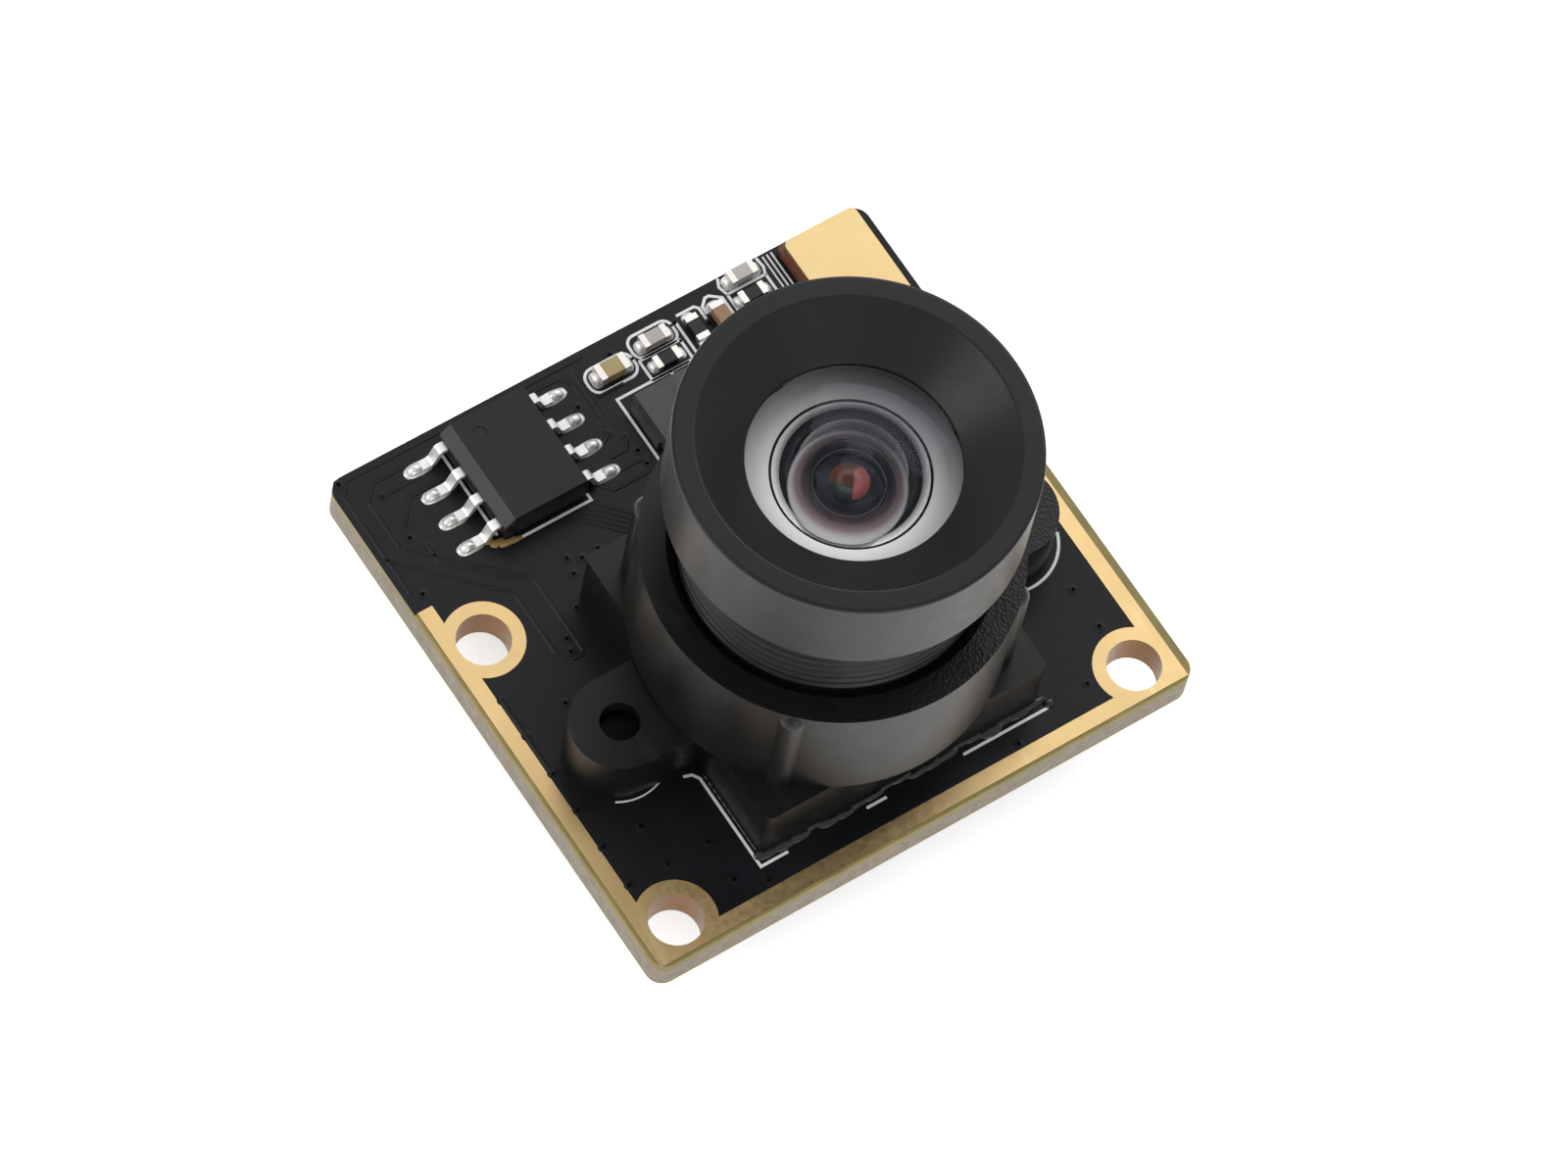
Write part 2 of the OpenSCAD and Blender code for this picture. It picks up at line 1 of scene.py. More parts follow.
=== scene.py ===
# %% [markdown]
# # A small board camera with a wide-angle lens
# The construction comes from the CAD frame. This lesson dresses it: real finishes on every
# piece, and the small forms that a moulder, a printer and a soldering oven leave behind.

# %% Load the frame
import json
import math
import random
import bmesh
import bpy
from mathutils import Matrix, Vector


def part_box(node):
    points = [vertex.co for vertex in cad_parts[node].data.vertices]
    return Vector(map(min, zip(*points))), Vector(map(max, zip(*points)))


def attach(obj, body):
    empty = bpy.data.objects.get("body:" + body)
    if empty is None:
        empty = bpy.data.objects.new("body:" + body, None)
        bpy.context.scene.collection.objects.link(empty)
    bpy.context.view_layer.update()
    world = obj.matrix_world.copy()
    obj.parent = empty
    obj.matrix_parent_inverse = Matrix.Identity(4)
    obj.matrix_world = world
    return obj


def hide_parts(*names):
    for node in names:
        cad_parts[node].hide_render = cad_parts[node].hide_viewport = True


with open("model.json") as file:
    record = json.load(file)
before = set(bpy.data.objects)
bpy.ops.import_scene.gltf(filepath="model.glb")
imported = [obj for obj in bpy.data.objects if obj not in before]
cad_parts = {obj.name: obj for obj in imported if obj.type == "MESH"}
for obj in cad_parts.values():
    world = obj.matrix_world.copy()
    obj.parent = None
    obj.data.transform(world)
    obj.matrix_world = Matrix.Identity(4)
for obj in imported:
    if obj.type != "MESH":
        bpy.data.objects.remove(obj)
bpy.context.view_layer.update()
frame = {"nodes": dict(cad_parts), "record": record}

print("CAD nodes", len(frame["nodes"]))

# %% [markdown]
# Everything is placed from the CAD boxes. Board features are given in millimetres from the
# board's left and lower edges, the way a board designer reads them, and `on_board` turns them
# into metres in the frame.

# %% Measures and places
MM = 0.001
board_low, board_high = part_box("circuit_board")
barrel_low, barrel_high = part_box("lens_barrel")
chip_low, chip_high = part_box("memory_chip")
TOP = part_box("front_solder_mask")[1][2]
GLASS_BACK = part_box("front_glass")[0][2]
SPACER_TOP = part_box("glass_spacer")[1][2]
HOLDER_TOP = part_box("lens_holder")[1][2]
AXIS = Vector(((barrel_low[0] + barrel_high[0]) / 2, (barrel_low[1] + barrel_high[1]) / 2, 0))


def on_board(x, y, z=0.0):
    """A point z millimetres over the board's face, x and y from its left and lower edges."""
    return Vector((board_low[0] + x * MM, board_low[1] + y * MM, TOP + z * MM))


def put_in_scene(name, data):
    """A new object that shows this data, linked into the scene."""
    obj = bpy.data.objects.new(name, data)
    bpy.context.scene.collection.objects.link(obj)
    return obj


print("board", [round((b - a) / MM, 2) for a, b in zip(board_low, board_high)], "mm")

# %% [markdown]
# ## Camera
# A long lens far away keeps the board's edges almost parallel. It stands 37 cm off, 63 degrees
# up, over the corner nearest to it. It could aim at a point, but a place and a rotation vector
# keep its small roll too. It is set before any looks, so that each is judged from its side.

# %% Camera
CAMERA_PLACE = Vector((-119.43, -118.86, 334.26)) * MM
CAMERA_TURN = Vector((2.6096, -0.7435, 0.3214))
CAMERA_LENS, CAMERA_SENSOR = 219.23, 36.0
camera_data = bpy.data.cameras.new("camera")
camera_data.lens = CAMERA_LENS
camera_data.sensor_width = CAMERA_SENSOR
camera_data.clip_start = 0.01
camera = put_in_scene("camera", camera_data)
to_lens = Matrix.Rotation(CAMERA_TURN.length, 3, CAMERA_TURN.normalized())
flip_down_axes = Matrix.Diagonal((1, -1, -1))
camera.matrix_world = Matrix.LocRotScale(
    CAMERA_PLACE, (to_lens.transposed() @ flip_down_axes).to_quaternion(), None)
bpy.context.scene.camera = camera
bpy.context.scene.view_settings.view_transform = "Standard"
print("camera", round((camera.location - AXIS).length / MM), "mm from the lens axis' foot")

# %% [markdown]
# ## Shared effects
# Moulded plastic, anodised metal and solder mask all need two things: a grain that breaks the
# highlight up, and a roughness that isn't the same everywhere. Each effect is a node group with
# named sockets, so that a material only says how coarse and how strong.

# %% Group helpers
def new_group(name, inputs, outputs):
    """An empty node group, with its entrance and its exit."""
    group = bpy.data.node_groups.new(name, "ShaderNodeTree")
    for label, kind, value in inputs:
        socket = group.interface.new_socket(label, in_out="INPUT", socket_type=kind)
        if value is not None:
            socket.default_value = value
    for label, kind in outputs:
        group.interface.new_socket(label, in_out="OUTPUT", socket_type=kind)
    enter = group.nodes.new("NodeGroupInput")
    leave = group.nodes.new("NodeGroupOutput")
    return group, enter, leave


def feed(tree, socket, value):
    """Gives a socket a constant, or links another socket to it."""
    if isinstance(value, bpy.types.NodeSocket):
        tree.links.new(value, socket)
    else:
        socket.default_value = value


def object_place(tree):
    """The shaded point in its object's own space."""
    return tree.nodes.new("ShaderNodeTexCoord").outputs["Object"]


def split_axes(tree, vector):
    node = tree.nodes.new("ShaderNodeSeparateXYZ")
    tree.links.new(vector, node.inputs[0])
    return node.outputs


def add_math(tree, operation, a, b=None, clamp=False, kind="ShaderNodeMath"):
    """A Math node, or a vector one by its kind, with constants or sockets as inputs."""
    node = tree.nodes.new(kind)
    node.operation = operation
    if clamp:
        node.use_clamp = True
    for socket, value in zip(node.inputs, (a, b)):
        if value is not None:
            feed(tree, socket, value)
    return node.outputs[0]


def add_noise(tree, scale, detail=3.0, vector=None, distortion=0.0):
    if vector is None:
        vector = object_place(tree)
    noise = tree.nodes.new("ShaderNodeTexNoise")
    for label, value in (("Scale", scale), ("Detail", detail), ("Distortion", distortion),
                         ("Vector", vector)):
        feed(tree, noise.inputs[label], value)
    return noise.outputs["Fac"]


print("helpers for node groups are ready")

# %% [markdown]
# Moulds, anodising baths and rolled tin all leave a grain too fine to count. A painted texture
# could show it. Noise in the object's own space needs no unwrapping and stays sharp close up.

# %% Grain: a fine texture for Height, and a slow drift for Roughness
grain_group, enter, leave = new_group(
    "surface_grain",
    [("Scale", "NodeSocketFloat", 6000.0), ("Roughness", "NodeSocketFloat", 0.5),
     ("Spread", "NodeSocketFloat", 0.15)],
    [("Height", "NodeSocketFloat"), ("Roughness", "NodeSocketFloat")])
fine = add_noise(grain_group, enter.outputs["Scale"], 2.0)
slow_scale = add_math(grain_group, "DIVIDE", enter.outputs["Scale"], 14.0)
slow = add_noise(grain_group, slow_scale, 4.0)
mixed = add_math(grain_group, "ADD", fine, slow)
drift = add_math(grain_group, "SUBTRACT", mixed, 1.0)
drift = add_math(grain_group, "MULTIPLY", drift, enter.outputs["Spread"])
rough = add_math(grain_group, "ADD", drift, enter.outputs["Roughness"], clamp=True)
grain_group.links.new(fine, leave.inputs["Height"])
grain_group.links.new(rough, leave.inputs["Roughness"])
print("group", grain_group.name)

# %% [markdown]
# Tinned ends, a bevel with a painted highlight and the layers of a board's edge are places on
# one piece. They could be slots of their own, but the CAD meshes stay as they are, so a mask
# picks them out.

# %% Box mask: 1 inside a box of the object's own space
VECTOR_MATH = "ShaderNodeVectorMath"
box_group, enter, leave = new_group(
    "inside_box",
    [("Middle", "NodeSocketVector", None), ("Half Size", "NodeSocketVector", None)],
    [("Mask", "NodeSocketFloat")])
offset = add_math(box_group, "SUBTRACT", object_place(box_group), enter.outputs["Middle"],
                  kind=VECTOR_MATH)
absolute = add_math(box_group, "ABSOLUTE", offset, kind=VECTOR_MATH)
room = add_math(box_group, "SUBTRACT", enter.outputs["Half Size"], absolute, kind=VECTOR_MATH)
inside = [add_math(box_group, "GREATER_THAN", axis, 0.0) for axis in split_axes(box_group, room)]
both = add_math(box_group, "MULTIPLY", inside[0], inside[1])
box_group.links.new(add_math(box_group, "MULTIPLY", both, inside[2]), leave.inputs["Mask"])
print("group", box_group.name)

# %% [markdown]
# Fingers and trays rub black plastic in one direction. Noise that is stretched and then cut off
# high up leaves a few thin streaks, which is cheaper than drawing each one.

# %% Scuffs: thin stretched streaks where fingers and trays have rubbed
scuff_group, enter, leave = new_group(
    "light_scuffs",
    [("Scale", "NodeSocketFloat", 900.0), ("Amount", "NodeSocketFloat", 0.5)],
    [("Mask", "NodeSocketFloat")])
stretch = scuff_group.nodes.new("ShaderNodeMapping")
stretch.inputs["Scale"].default_value = (1.0, 0.12, 0.4)
stretch.inputs["Rotation"].default_value = (0.2, 0.1, 0.9)
scuff_group.links.new(object_place(scuff_group), stretch.inputs["Vector"])
streaks = add_noise(scuff_group, enter.outputs["Scale"], 6.0, stretch.outputs["Vector"], 0.6)
streaks = add_math(scuff_group, "SUBTRACT", streaks, 0.6)
streaks = add_math(scuff_group, "MULTIPLY", streaks, 9.0, clamp=True)
scuff_group.links.new(add_math(scuff_group, "MULTIPLY", streaks, enter.outputs["Amount"]),
                      leave.inputs["Mask"])
print("node groups", [g.name for g in bpy.data.node_groups])

# %% [markdown]
# ## Materials
# `finish` makes the plain body of a material: colour with a little drift, grain in Height and
# Roughness. What is special about one finish is added after that, piece by piece.

# %% Material helper
MIX_FACTOR, MIX_COLOURS, MIX_RESULT = 0, (6, 7), 2  # a Mix node's sockets for colours


def use_group(tree, group, **values):
    """Puts a group into a tree. An underscore in a value's name stands for a space."""
    node = tree.nodes.new("ShaderNodeGroup")
    node.node_tree = group
    for label, value in values.items():
        feed(tree, node.inputs[label.replace("_", " ")], value)
    return node


def mix_colour(tree, mask, first, second, blend="MIX"):
    """Blends two colours, each a tuple or a socket, by a mask or a constant."""
    mix = tree.nodes.new("ShaderNodeMix")
    mix.data_type = "RGBA"
    mix.blend_type = blend
    feed(tree, mix.inputs[MIX_FACTOR], mask)
    for place, value in zip(MIX_COLOURS, (first, second)):
        feed(tree, mix.inputs[place], (*value, 1.0) if isinstance(value, tuple) else value)
    return mix.outputs[MIX_RESULT]


def shader_of(material):
    return material.node_tree.nodes["Principled BSDF"]


def new_material(name):
    material = bpy.data.materials.new(name)
    material.use_nodes = True
    return material, material.node_tree, shader_of(material)


def base_socket(material):
    """The socket that now feeds Base Color, so that a later step can mix into it."""
    return shader_of(material).inputs["Base Color"].links[0].from_socket


def set_base(material, socket):
    material.node_tree.links.new(socket, shader_of(material).inputs["Base Color"])


def paint_over(material, mask, colour):
    """Lays a colour over what the material shows, where the mask is 1."""
    set_base(material, mix_colour(material.node_tree, mask, base_socket(material), colour))


def add_glow(material, strength):
    """Painted light: ground glass gathers light inside the lens, so its own colour is made to glow
    faintly.
    """
    shader = shader_of(material)
    material.node_tree.links.new(base_socket(material), shader.inputs["Emission Color"])
    shader.inputs["Emission Strength"].default_value = strength


def finish(name, colour, roughness, metallic=0.0, grain=6000.0, depth=0.1, spread=0.15,
           drift=0.25, drift_scale=500.0, scuffs=0.0, specular=0.5, bump_mm=0.01):
    material, tree, shader = new_material(name)
    shader.inputs["Metallic"].default_value = metallic
    shader.inputs["Specular IOR Level"].default_value = specular
    texture = use_group(tree, grain_group, Scale=grain, Roughness=roughness, Spread=spread)
    tree.links.new(texture.outputs["Roughness"], shader.inputs["Roughness"])
    bump = tree.nodes.new("ShaderNodeBump")
    bump.name = "bump"
    bump.inputs["Strength"].default_value = depth
    bump.inputs["Distance"].default_value = bump_mm * MM
    tree.links.new(texture.outputs["Height"], bump.inputs["Height"])
    tree.links.new(bump.outputs["Normal"], shader.inputs["Normal"])
    cloud = add_noise(tree, drift_scale, 5.0)
    darker = tuple(c * (1 - drift) for c in colour)
    lighter = tuple(min(1.0, c * (1 + drift)) for c in colour)
    set_base(material, mix_colour(tree, cloud, darker, lighter))
    if scuffs:
        marks = use_group(tree, scuff_group, Amount=scuffs)
        rubbed = tuple(min(1.0, c * 1.8 + 0.03) for c in colour)
        paint_over(material, marks.outputs["Mask"], rubbed)
    return material


print("helpers for materials are ready")

# %% [markdown]
# Black isn't one black here: the mask is cool and half glossy, the holder warm and grainy, the
# barrel a satin charcoal, and the chip a dusty grey.

# %% Plain finishes
mats = {
    "glass_fibre": finish("glass_fibre", (0.30, 0.245, 0.085), 0.6, grain=3600, depth=0.9,
                          drift=0.35, drift_scale=900, bump_mm=0.03),
    "solder_mask": finish("solder_mask", (0.006, 0.0065, 0.009), 0.34, grain=7000, depth=0.10,
                          drift=0.3, specular=0.24),
    "holder_plastic": finish("holder_plastic", (0.006, 0.0055, 0.0055), 0.36, grain=9000,
                             depth=0.3, drift=0.35, scuffs=0.25, specular=0.36),
    "anodised_barrel": finish("anodised_barrel", (0.005, 0.005, 0.006), 0.34, grain=12000,
                              depth=0.2, drift=0.12, specular=0.34),
    "black_spacer": finish("black_spacer", (0.012, 0.012, 0.012), 0.5, grain=8000, depth=0.2),
    "chip_moulding": finish("chip_moulding", (0.014, 0.0135, 0.0135), 0.5, grain=11000,
                            depth=0.4, drift=0.2, specular=0.3),
    "tinned_lead": finish("tinned_lead", (0.86, 0.85, 0.83), 0.34, metallic=0.6, grain=3500,
                          depth=0.25, spread=0.2),
    "solder": finish("solder", (0.88, 0.87, 0.85), 0.3, metallic=0.6, grain=2200, depth=0.25,
                     spread=0.25, bump_mm=0.02),
    "tan_ceramic": finish("tan_ceramic", (0.42, 0.33, 0.15), 0.45, grain=5000, depth=0.2),
    "grey_ceramic": finish("grey_ceramic", (0.50, 0.46, 0.43), 0.45, grain=5000, depth=0.2),
    "brown_ceramic": finish("brown_ceramic", (0.33, 0.20, 0.11), 0.45, grain=5000, depth=0.2),
    "resistor_black": finish("resistor_black", (0.012, 0.012, 0.014), 0.35, grain=5000,
                             specular=0.35),
    "inductor_ferrite": finish("inductor_ferrite", (0.05, 0.05, 0.053), 0.45, grain=3000,
                               depth=0.4, drift=0.5, drift_scale=1400),
    "oscillator_ceramic": finish("oscillator_ceramic", (0.14, 0.045, 0.02), 0.45),
    "gold_lid": finish("gold_lid", (0.68, 0.51, 0.25), 0.34, metallic=1.0, grain=9000,
                       depth=0.12, drift=0.06),
    "screw_steel": finish("screw_steel", (0.55, 0.55, 0.56), 0.3, metallic=1.0, grain=2500,
                          scuffs=0.4),
    "connector_cream": finish("connector_cream", (0.72, 0.66, 0.50), 0.42, grain=6000),
    "latch_black": finish("latch_black", (0.02, 0.02, 0.02), 0.4, grain=8000, depth=0.2),
    "contact_metal": finish("contact_metal", (0.78, 0.70, 0.5), 0.3, metallic=1.0),
    "sensor": finish("sensor", (0.05, 0.05, 0.07), 0.2, grain=9000, depth=0.05),
    "print_white": finish("print_white", (0.80, 0.81, 0.82), 0.6, grain=4500, depth=0.5,
                          drift=0.16, drift_scale=2600),
    "via_dark": finish("via_dark", (0.002, 0.002, 0.002), 0.7, specular=0.03),
    "flux": finish("flux", (0.30, 0.20, 0.07), 0.25, grain=2500, depth=0.5, drift=0.5,
                   drift_scale=1500),
}
print(len(mats), "plain finishes")

# %% [markdown]
# Gold plating over rough copper is soft and slightly stained. It is pale where it faces the
# light, so the colour stays light and the roughness does the work.

# %% Gold plating
gold = finish("gold_plating", (0.78, 0.56, 0.27), 0.34, metallic=1.0, grain=4200, depth=0.25,
              spread=0.22, drift=0.14, drift_scale=420, scuffs=0.25)
mats["gold_plating"] = gold
print("finish", gold.name)

# %% [markdown]
# The wall of a plated hole is rough and sees mostly the hole, so its shade is painted in as
# brown. It is one solid with its ring. A normal that lies flat tells the wall from the ring, at
# no cost in geometry.

# %% Painted shade on the walls of the plated holes
tree = gold.node_tree
facing = tree.nodes.new("ShaderNodeNewGeometry")
upright = add_math(tree, "ABSOLUTE", split_axes(tree, facing.outputs["Normal"])[2])
wall = add_math(tree, "LESS_THAN", upright, 0.5)
# Painted shade: faces that stand upright are painted brown.
paint_over(gold, wall, (0.22, 0.11, 0.04))
print("walls are brown in", gold.name)

# %% [markdown]
# The moulded chip has a wide bevel along one side, painted paler as a highlight from the side
# lamp. A screw's tip, deep in the ear's pilot hole, is painted dark as the shade in the hole.
# Both are box masks.

# %% Painted highlight on the bevel and painted shade in the screw holes
bevel_half = 0.24 * MM
tip_half = 5 * MM
chip, steel = mats["chip_moulding"], mats["screw_steel"]
# Painted highlight: a strip along the bevel is made paler.
strip = use_group(chip.node_tree, box_group, Half_Size=(bevel_half, 3 * MM, 0.5 * MM),
                  Middle=(chip_low[0] + 0.22 * MM, (chip_low[1] + chip_high[1]) / 2, chip_high[2]))
paint_over(chip, strip.outputs["Mask"], (0.055, 0.055, 0.056))
# Painted shade: the screws are made near black above the board, as the shade inside the pilot holes.
tip = use_group(steel.node_tree, box_group, Middle=(0, 0, TOP + tip_half),
                Half_Size=(1, 1, tip_half))
paint_over(steel, tip.outputs["Mask"], (0.012, 0.011, 0.011))
print("masks in", chip.name, "and", steel.name)

# %% [markdown]
# The board's routed edge shows its layers: resin-rich and olive under the faces, and a paler
# torn glass cloth in the middle. One mask over the height gives the band.

# %% Routed edge of the board
torn_half, torn_drop = 0.5 * MM, 0.12 * MM
core = mats["glass_fibre"]
tree = core.node_tree
middle_z = (board_low[2] + board_high[2]) / 2
layer = use_group(tree, box_group, Middle=(0, 0, middle_z - torn_drop),
                  Half_Size=(1, 1, torn_half))
cloth = add_noise(tree, 2600.0, 8.0)
torn = mix_colour(tree, cloth, (0.15, 0.12, 0.08), (0.42, 0.37, 0.31))
paint_over(core, layer.outputs["Mask"], torn)
print("torn cloth is", round(2 * torn_half / MM, 2), "mm thick at the edge")

# %% [markdown]
# The moulded rim and the far ear keep the coarse spark-eroded texture of the mould. A second,
# much coarser bump is switched on by a height mask, so the walls stay fine.

# %% Coarse texture on the holder's rim
PIT_SCALE, PIT_DEPTH = 8500.0, 6.0
tree = mats["holder_plastic"].node_tree
rim = use_group(tree, box_group, Middle=(4 * MM, AXIS.y - 6 * MM, HOLDER_TOP),
                Half_Size=(9 * MM, 7 * MM, 0.03 * MM))
ear = use_group(tree, box_group, Middle=(9.5 * MM, AXIS.y, TOP + 2.7 * MM),
                Half_Size=(2.2 * MM, 3 * MM, 0.05 * MM))
either = add_math(tree, "MAXIMUM", rim.outputs["Mask"], ear.outputs["Mask"])
pits = tree.nodes.new("ShaderNodeTexVoronoi")
feed(tree, pits.inputs["Scale"], PIT_SCALE)
feed(tree, pits.inputs["Vector"], object_place(tree))
coarse = add_math(tree, "MULTIPLY", pits.outputs["Distance"], either)
coarse = add_math(tree, "MULTIPLY", coarse, PIT_DEPTH)
height = tree.nodes["bump"].inputs["Height"]
tree.links.new(add_math(tree, "ADD", coarse, height.links[0].from_socket), height)
print("coarse texture on the rim", round((HOLDER_TOP - TOP) / MM, 2), "mm over the board")

# %% [markdown]
# A chip part has fired silver ends under tin. On the CAD solid they are one piece with the
# ceramic, so a copy of the material masks each end in.

# %% Tinned ends
def with_tinned_ends(node, material, end_mm):
    low, high = (Vector(v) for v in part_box(node))
    size = high - low
    along = 0 if size.x > size.y else 1
    half = size / 2 + Vector((1, 1, 1)) * MM
    half[along] = size[along] / 2 - end_mm * MM
    copy = material.copy()
    copy.name = material.name + "_" + node
    tree = copy.node_tree
    body = use_group(tree, box_group, Middle=(low + high) / 2, Half_Size=half)
    ceramic = body.outputs["Mask"]
    set_base(copy, mix_colour(tree, ceramic, (0.80, 0.77, 0.73), base_socket(copy)))
    metal = add_math(tree, "SUBTRACT", 1.0, ceramic)
    tree.links.new(metal, shader_of(copy).inputs["Metallic"])
    return copy


print("tinned ends are ready for the chip parts")

# %% [markdown]
# Glass is clear with a thin coating. The front glass also needs its ground back ring, which is
# made further on as a piece of its own.

# %% Glass finishes
COATING = (0.16, 0.17, 0.22)


def glass(name, colour, ior=1.52):
    material, tree, shader = new_material(name)
    shader.inputs["Transmission Weight"].default_value = 1.0
    shader.inputs["IOR"].default_value = ior
    shader.inputs["Specular Tint"].default_value = (*COATING, 1.0)
    haze = use_group(tree, grain_group, Scale=2500.0, Roughness=0.0, Spread=0.01)
    tree.links.new(haze.outputs["Roughness"], shader.inputs["Roughness"])
    tint = tuple(c * 0.98 for c in colour)
    set_base(material, mix_colour(tree, add_noise(tree, 300.0, 2.0), tint, colour))
    return material


mats["front_glass"] = glass("front_glass", (0.97, 0.98, 0.99))
mats["lens_glass"] = glass("lens_glass", (0.93, 0.97, 0.94), ior=1.6)
mats["filter_glass"] = glass("filter_glass", (0.55, 0.85, 0.85))
mats["cover_glass"] = glass("cover_glass", (0.9, 0.95, 0.95))
print("glasses", [name for name in mats if name.endswith("_glass")])

# %% [markdown]
# The record names a material slot for every node, and each node gets the finish of its slot.
# Parts with fired ends get a copy of their own, because the width of the end differs.

# %% Dress the CAD nodes
slots = {part["node"]: part["material_slot"] for part in frame["record"]["subparts"]}
end_width = {"tan_ceramic": 0.27, "grey_ceramic": 0.25, "brown_ceramic": 0.25,
             "resistor_black": 0.25}
for node, obj in frame["nodes"].items():
    material = mats[slots[node]]
    if slots[node] in end_width:
        material = with_tinned_ends(node, material, end_width[slots[node]])
    if not obj.material_slots:
        obj.data.materials.append(material)
    for place in obj.material_slots:
        place.material = material
print("dressed", len(frame["nodes"]), "nodes")

# %% [markdown]
# A path tracer lets hardly any lamp light through glass onto what lies behind it. The glasses
# therefore cast no shadow, and the stack behind them is lit as it is in the open.

# %% Let light into the lens
clear = ("front_glass", "second_glass", "third_glass", "fourth_glass")
for node in clear:
    frame["nodes"][node].visible_shadow = False
print("glasses without a shadow:", len(clear))

# %% [markdown]
# CAD edges are knife sharp, and nothing real is. A bevel modifier gives each rigid piece the
# small radius of its making: moulds about 0.1 mm, pressed lids more, ceramics less.

# %% Soft edges on the CAD pieces
edge_mm = {"lens_holder": 0.10, "circuit_board": 0.03, "memory_chip": 0.04,
           "oscillator_lid": 0.2, "oscillator_base": 0.04, "power_inductor": 0.06,
           "connector_housing": 0.08, "connector_latch": 0.06, "regulator_1": 0.04,
           "regulator_2": 0.04, "chip_leads": 0.03, "holder_screws": 0.08}
for name in list(frame["nodes"]):
    if name.startswith(("capacitor", "resistor", "back_capacitor")):
        edge_mm[name] = 0.03
for node, width in edge_mm.items():
    bevel = frame["nodes"][node].modifiers.new("edge", "BEVEL")
    bevel.width = width * MM
    bevel.segments = 2
    bevel.limit_method = "ANGLE"
    bevel.angle_limit = math.radians(40)
    bevel.use_clamp_overlap = True
    bevel.harden_normals = True
print("edges softened on", len(edge_mm), "pieces")

# %% [markdown]
# ## Mesh helpers
# Most small forms are either a revolved profile, a flat stroke on the board, or a low dome.

# %% Build, revolve, stroke, dome
def add_piece(name, mesh, material, body, smooth=True):
    """A mesh as a piece of the model, riding a body under a material slot's name."""
    obj = put_in_scene(name, mesh)
    obj.data.materials.append(material)
    for face in mesh.polygons:
        face.use_smooth = smooth
    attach(obj, body)
    return obj


def finish_mesh(name, mesh, face_out=False):
    """An open bmesh as mesh data, with its faces turned outward if asked."""
    if face_out:
        bmesh.ops.recalc_face_normals(mesh, faces=mesh.faces)
    data = bpy.data.meshes.new(name)
    mesh.to_mesh(data)
    mesh.free()
    return data


def revolve(name, profile, steps, wave=None):
    """Turns a closed loop of (radius, height) points in metres about the lens axis.
    wave(angle, i) may add to a point's radius."""
    mesh = bmesh.new()
    rings = []
    for step in range(steps):
        angle = 2 * math.pi * step / steps
        ring = []
        for i, (r, z) in enumerate(profile):
            r = r + (wave(angle, i) if wave else 0.0)
            ring.append(mesh.verts.new((AXIS.x + r * math.cos(angle),
                                        AXIS.y + r * math.sin(angle), z)))
        rings.append(ring)
    count = len(profile)
    for step in range(steps):
        here, there = rings[step], rings[(step + 1) % steps]
        for i in range(count):
            j = (i + 1) % count
            mesh.faces.new((here[i], there[i], there[j], here[j]))
    return finish_mesh(name, mesh, face_out=True)


def strokes(name, lines, width, height, top_share=1.0):
    """Raised strips along lines of board points: printed ink, or tracks under the mask."""
    mesh = bmesh.new()
    for points in lines:
        places = [on_board(*p) for p in points]
        sides = []
        for i, place in enumerate(places):
            before = (place - places[i - 1]).normalized() if i else None
            after = (places[i + 1] - place).normalized() if i + 1 < len(places) else None
            way = ((before or after) + (after or before)).normalized()
            across = Vector((-way.y, way.x, 0))
            bend = (before or after).dot(way)
            reach = width * MM / 2 / max(bend, 0.5)
            if before is None:
                place = place - way * width * MM / 2
            if after is None:
                place = place + way * width * MM / 2
            top = place + Vector((0, 0, height * MM))
            sides.append([mesh.verts.new(place + across * reach),
                          mesh.verts.new(top + across * reach * top_share),
                          mesh.verts.new(top - across * reach * top_share),
                          mesh.verts.new(place - across * reach)])
        for a, b in zip(sides, sides[1:]):
            for i in range(4):
                mesh.faces.new((a[i], b[i], b[(i + 1) % 4], a[(i + 1) % 4]))
        mesh.faces.new(sides[0])
        mesh.faces.new(sides[-1][::-1])
    return finish_mesh(name, mesh, face_out=True)


def oblong(x, y, w, h, r, parts=5):
    """A closed rounded outline round a middle, as board points."""
    points = []
    for cx, cy, start in ((1, 1, 0), (-1, 1, 90), (-1, -1, 180), (1, -1, 270)):
        for i in range(parts + 1):
            a = math.radians(start + 90 * i / parts)
            points.append((x + cx * (w / 2 - r) + r * math.cos(a),
                           y + cy * (h / 2 - r) + r * math.sin(a)))
    return points + points[:1]


def arc(x, y, r, start, end, parts=14):
    """Board points along an arc, from one angle to another in degrees."""
    return [(x + r * math.cos(math.radians(start + (end - start) * i / parts)),
             y + r * math.sin(math.radians(start + (end - start) * i / parts)))
            for i in range(parts + 1)]


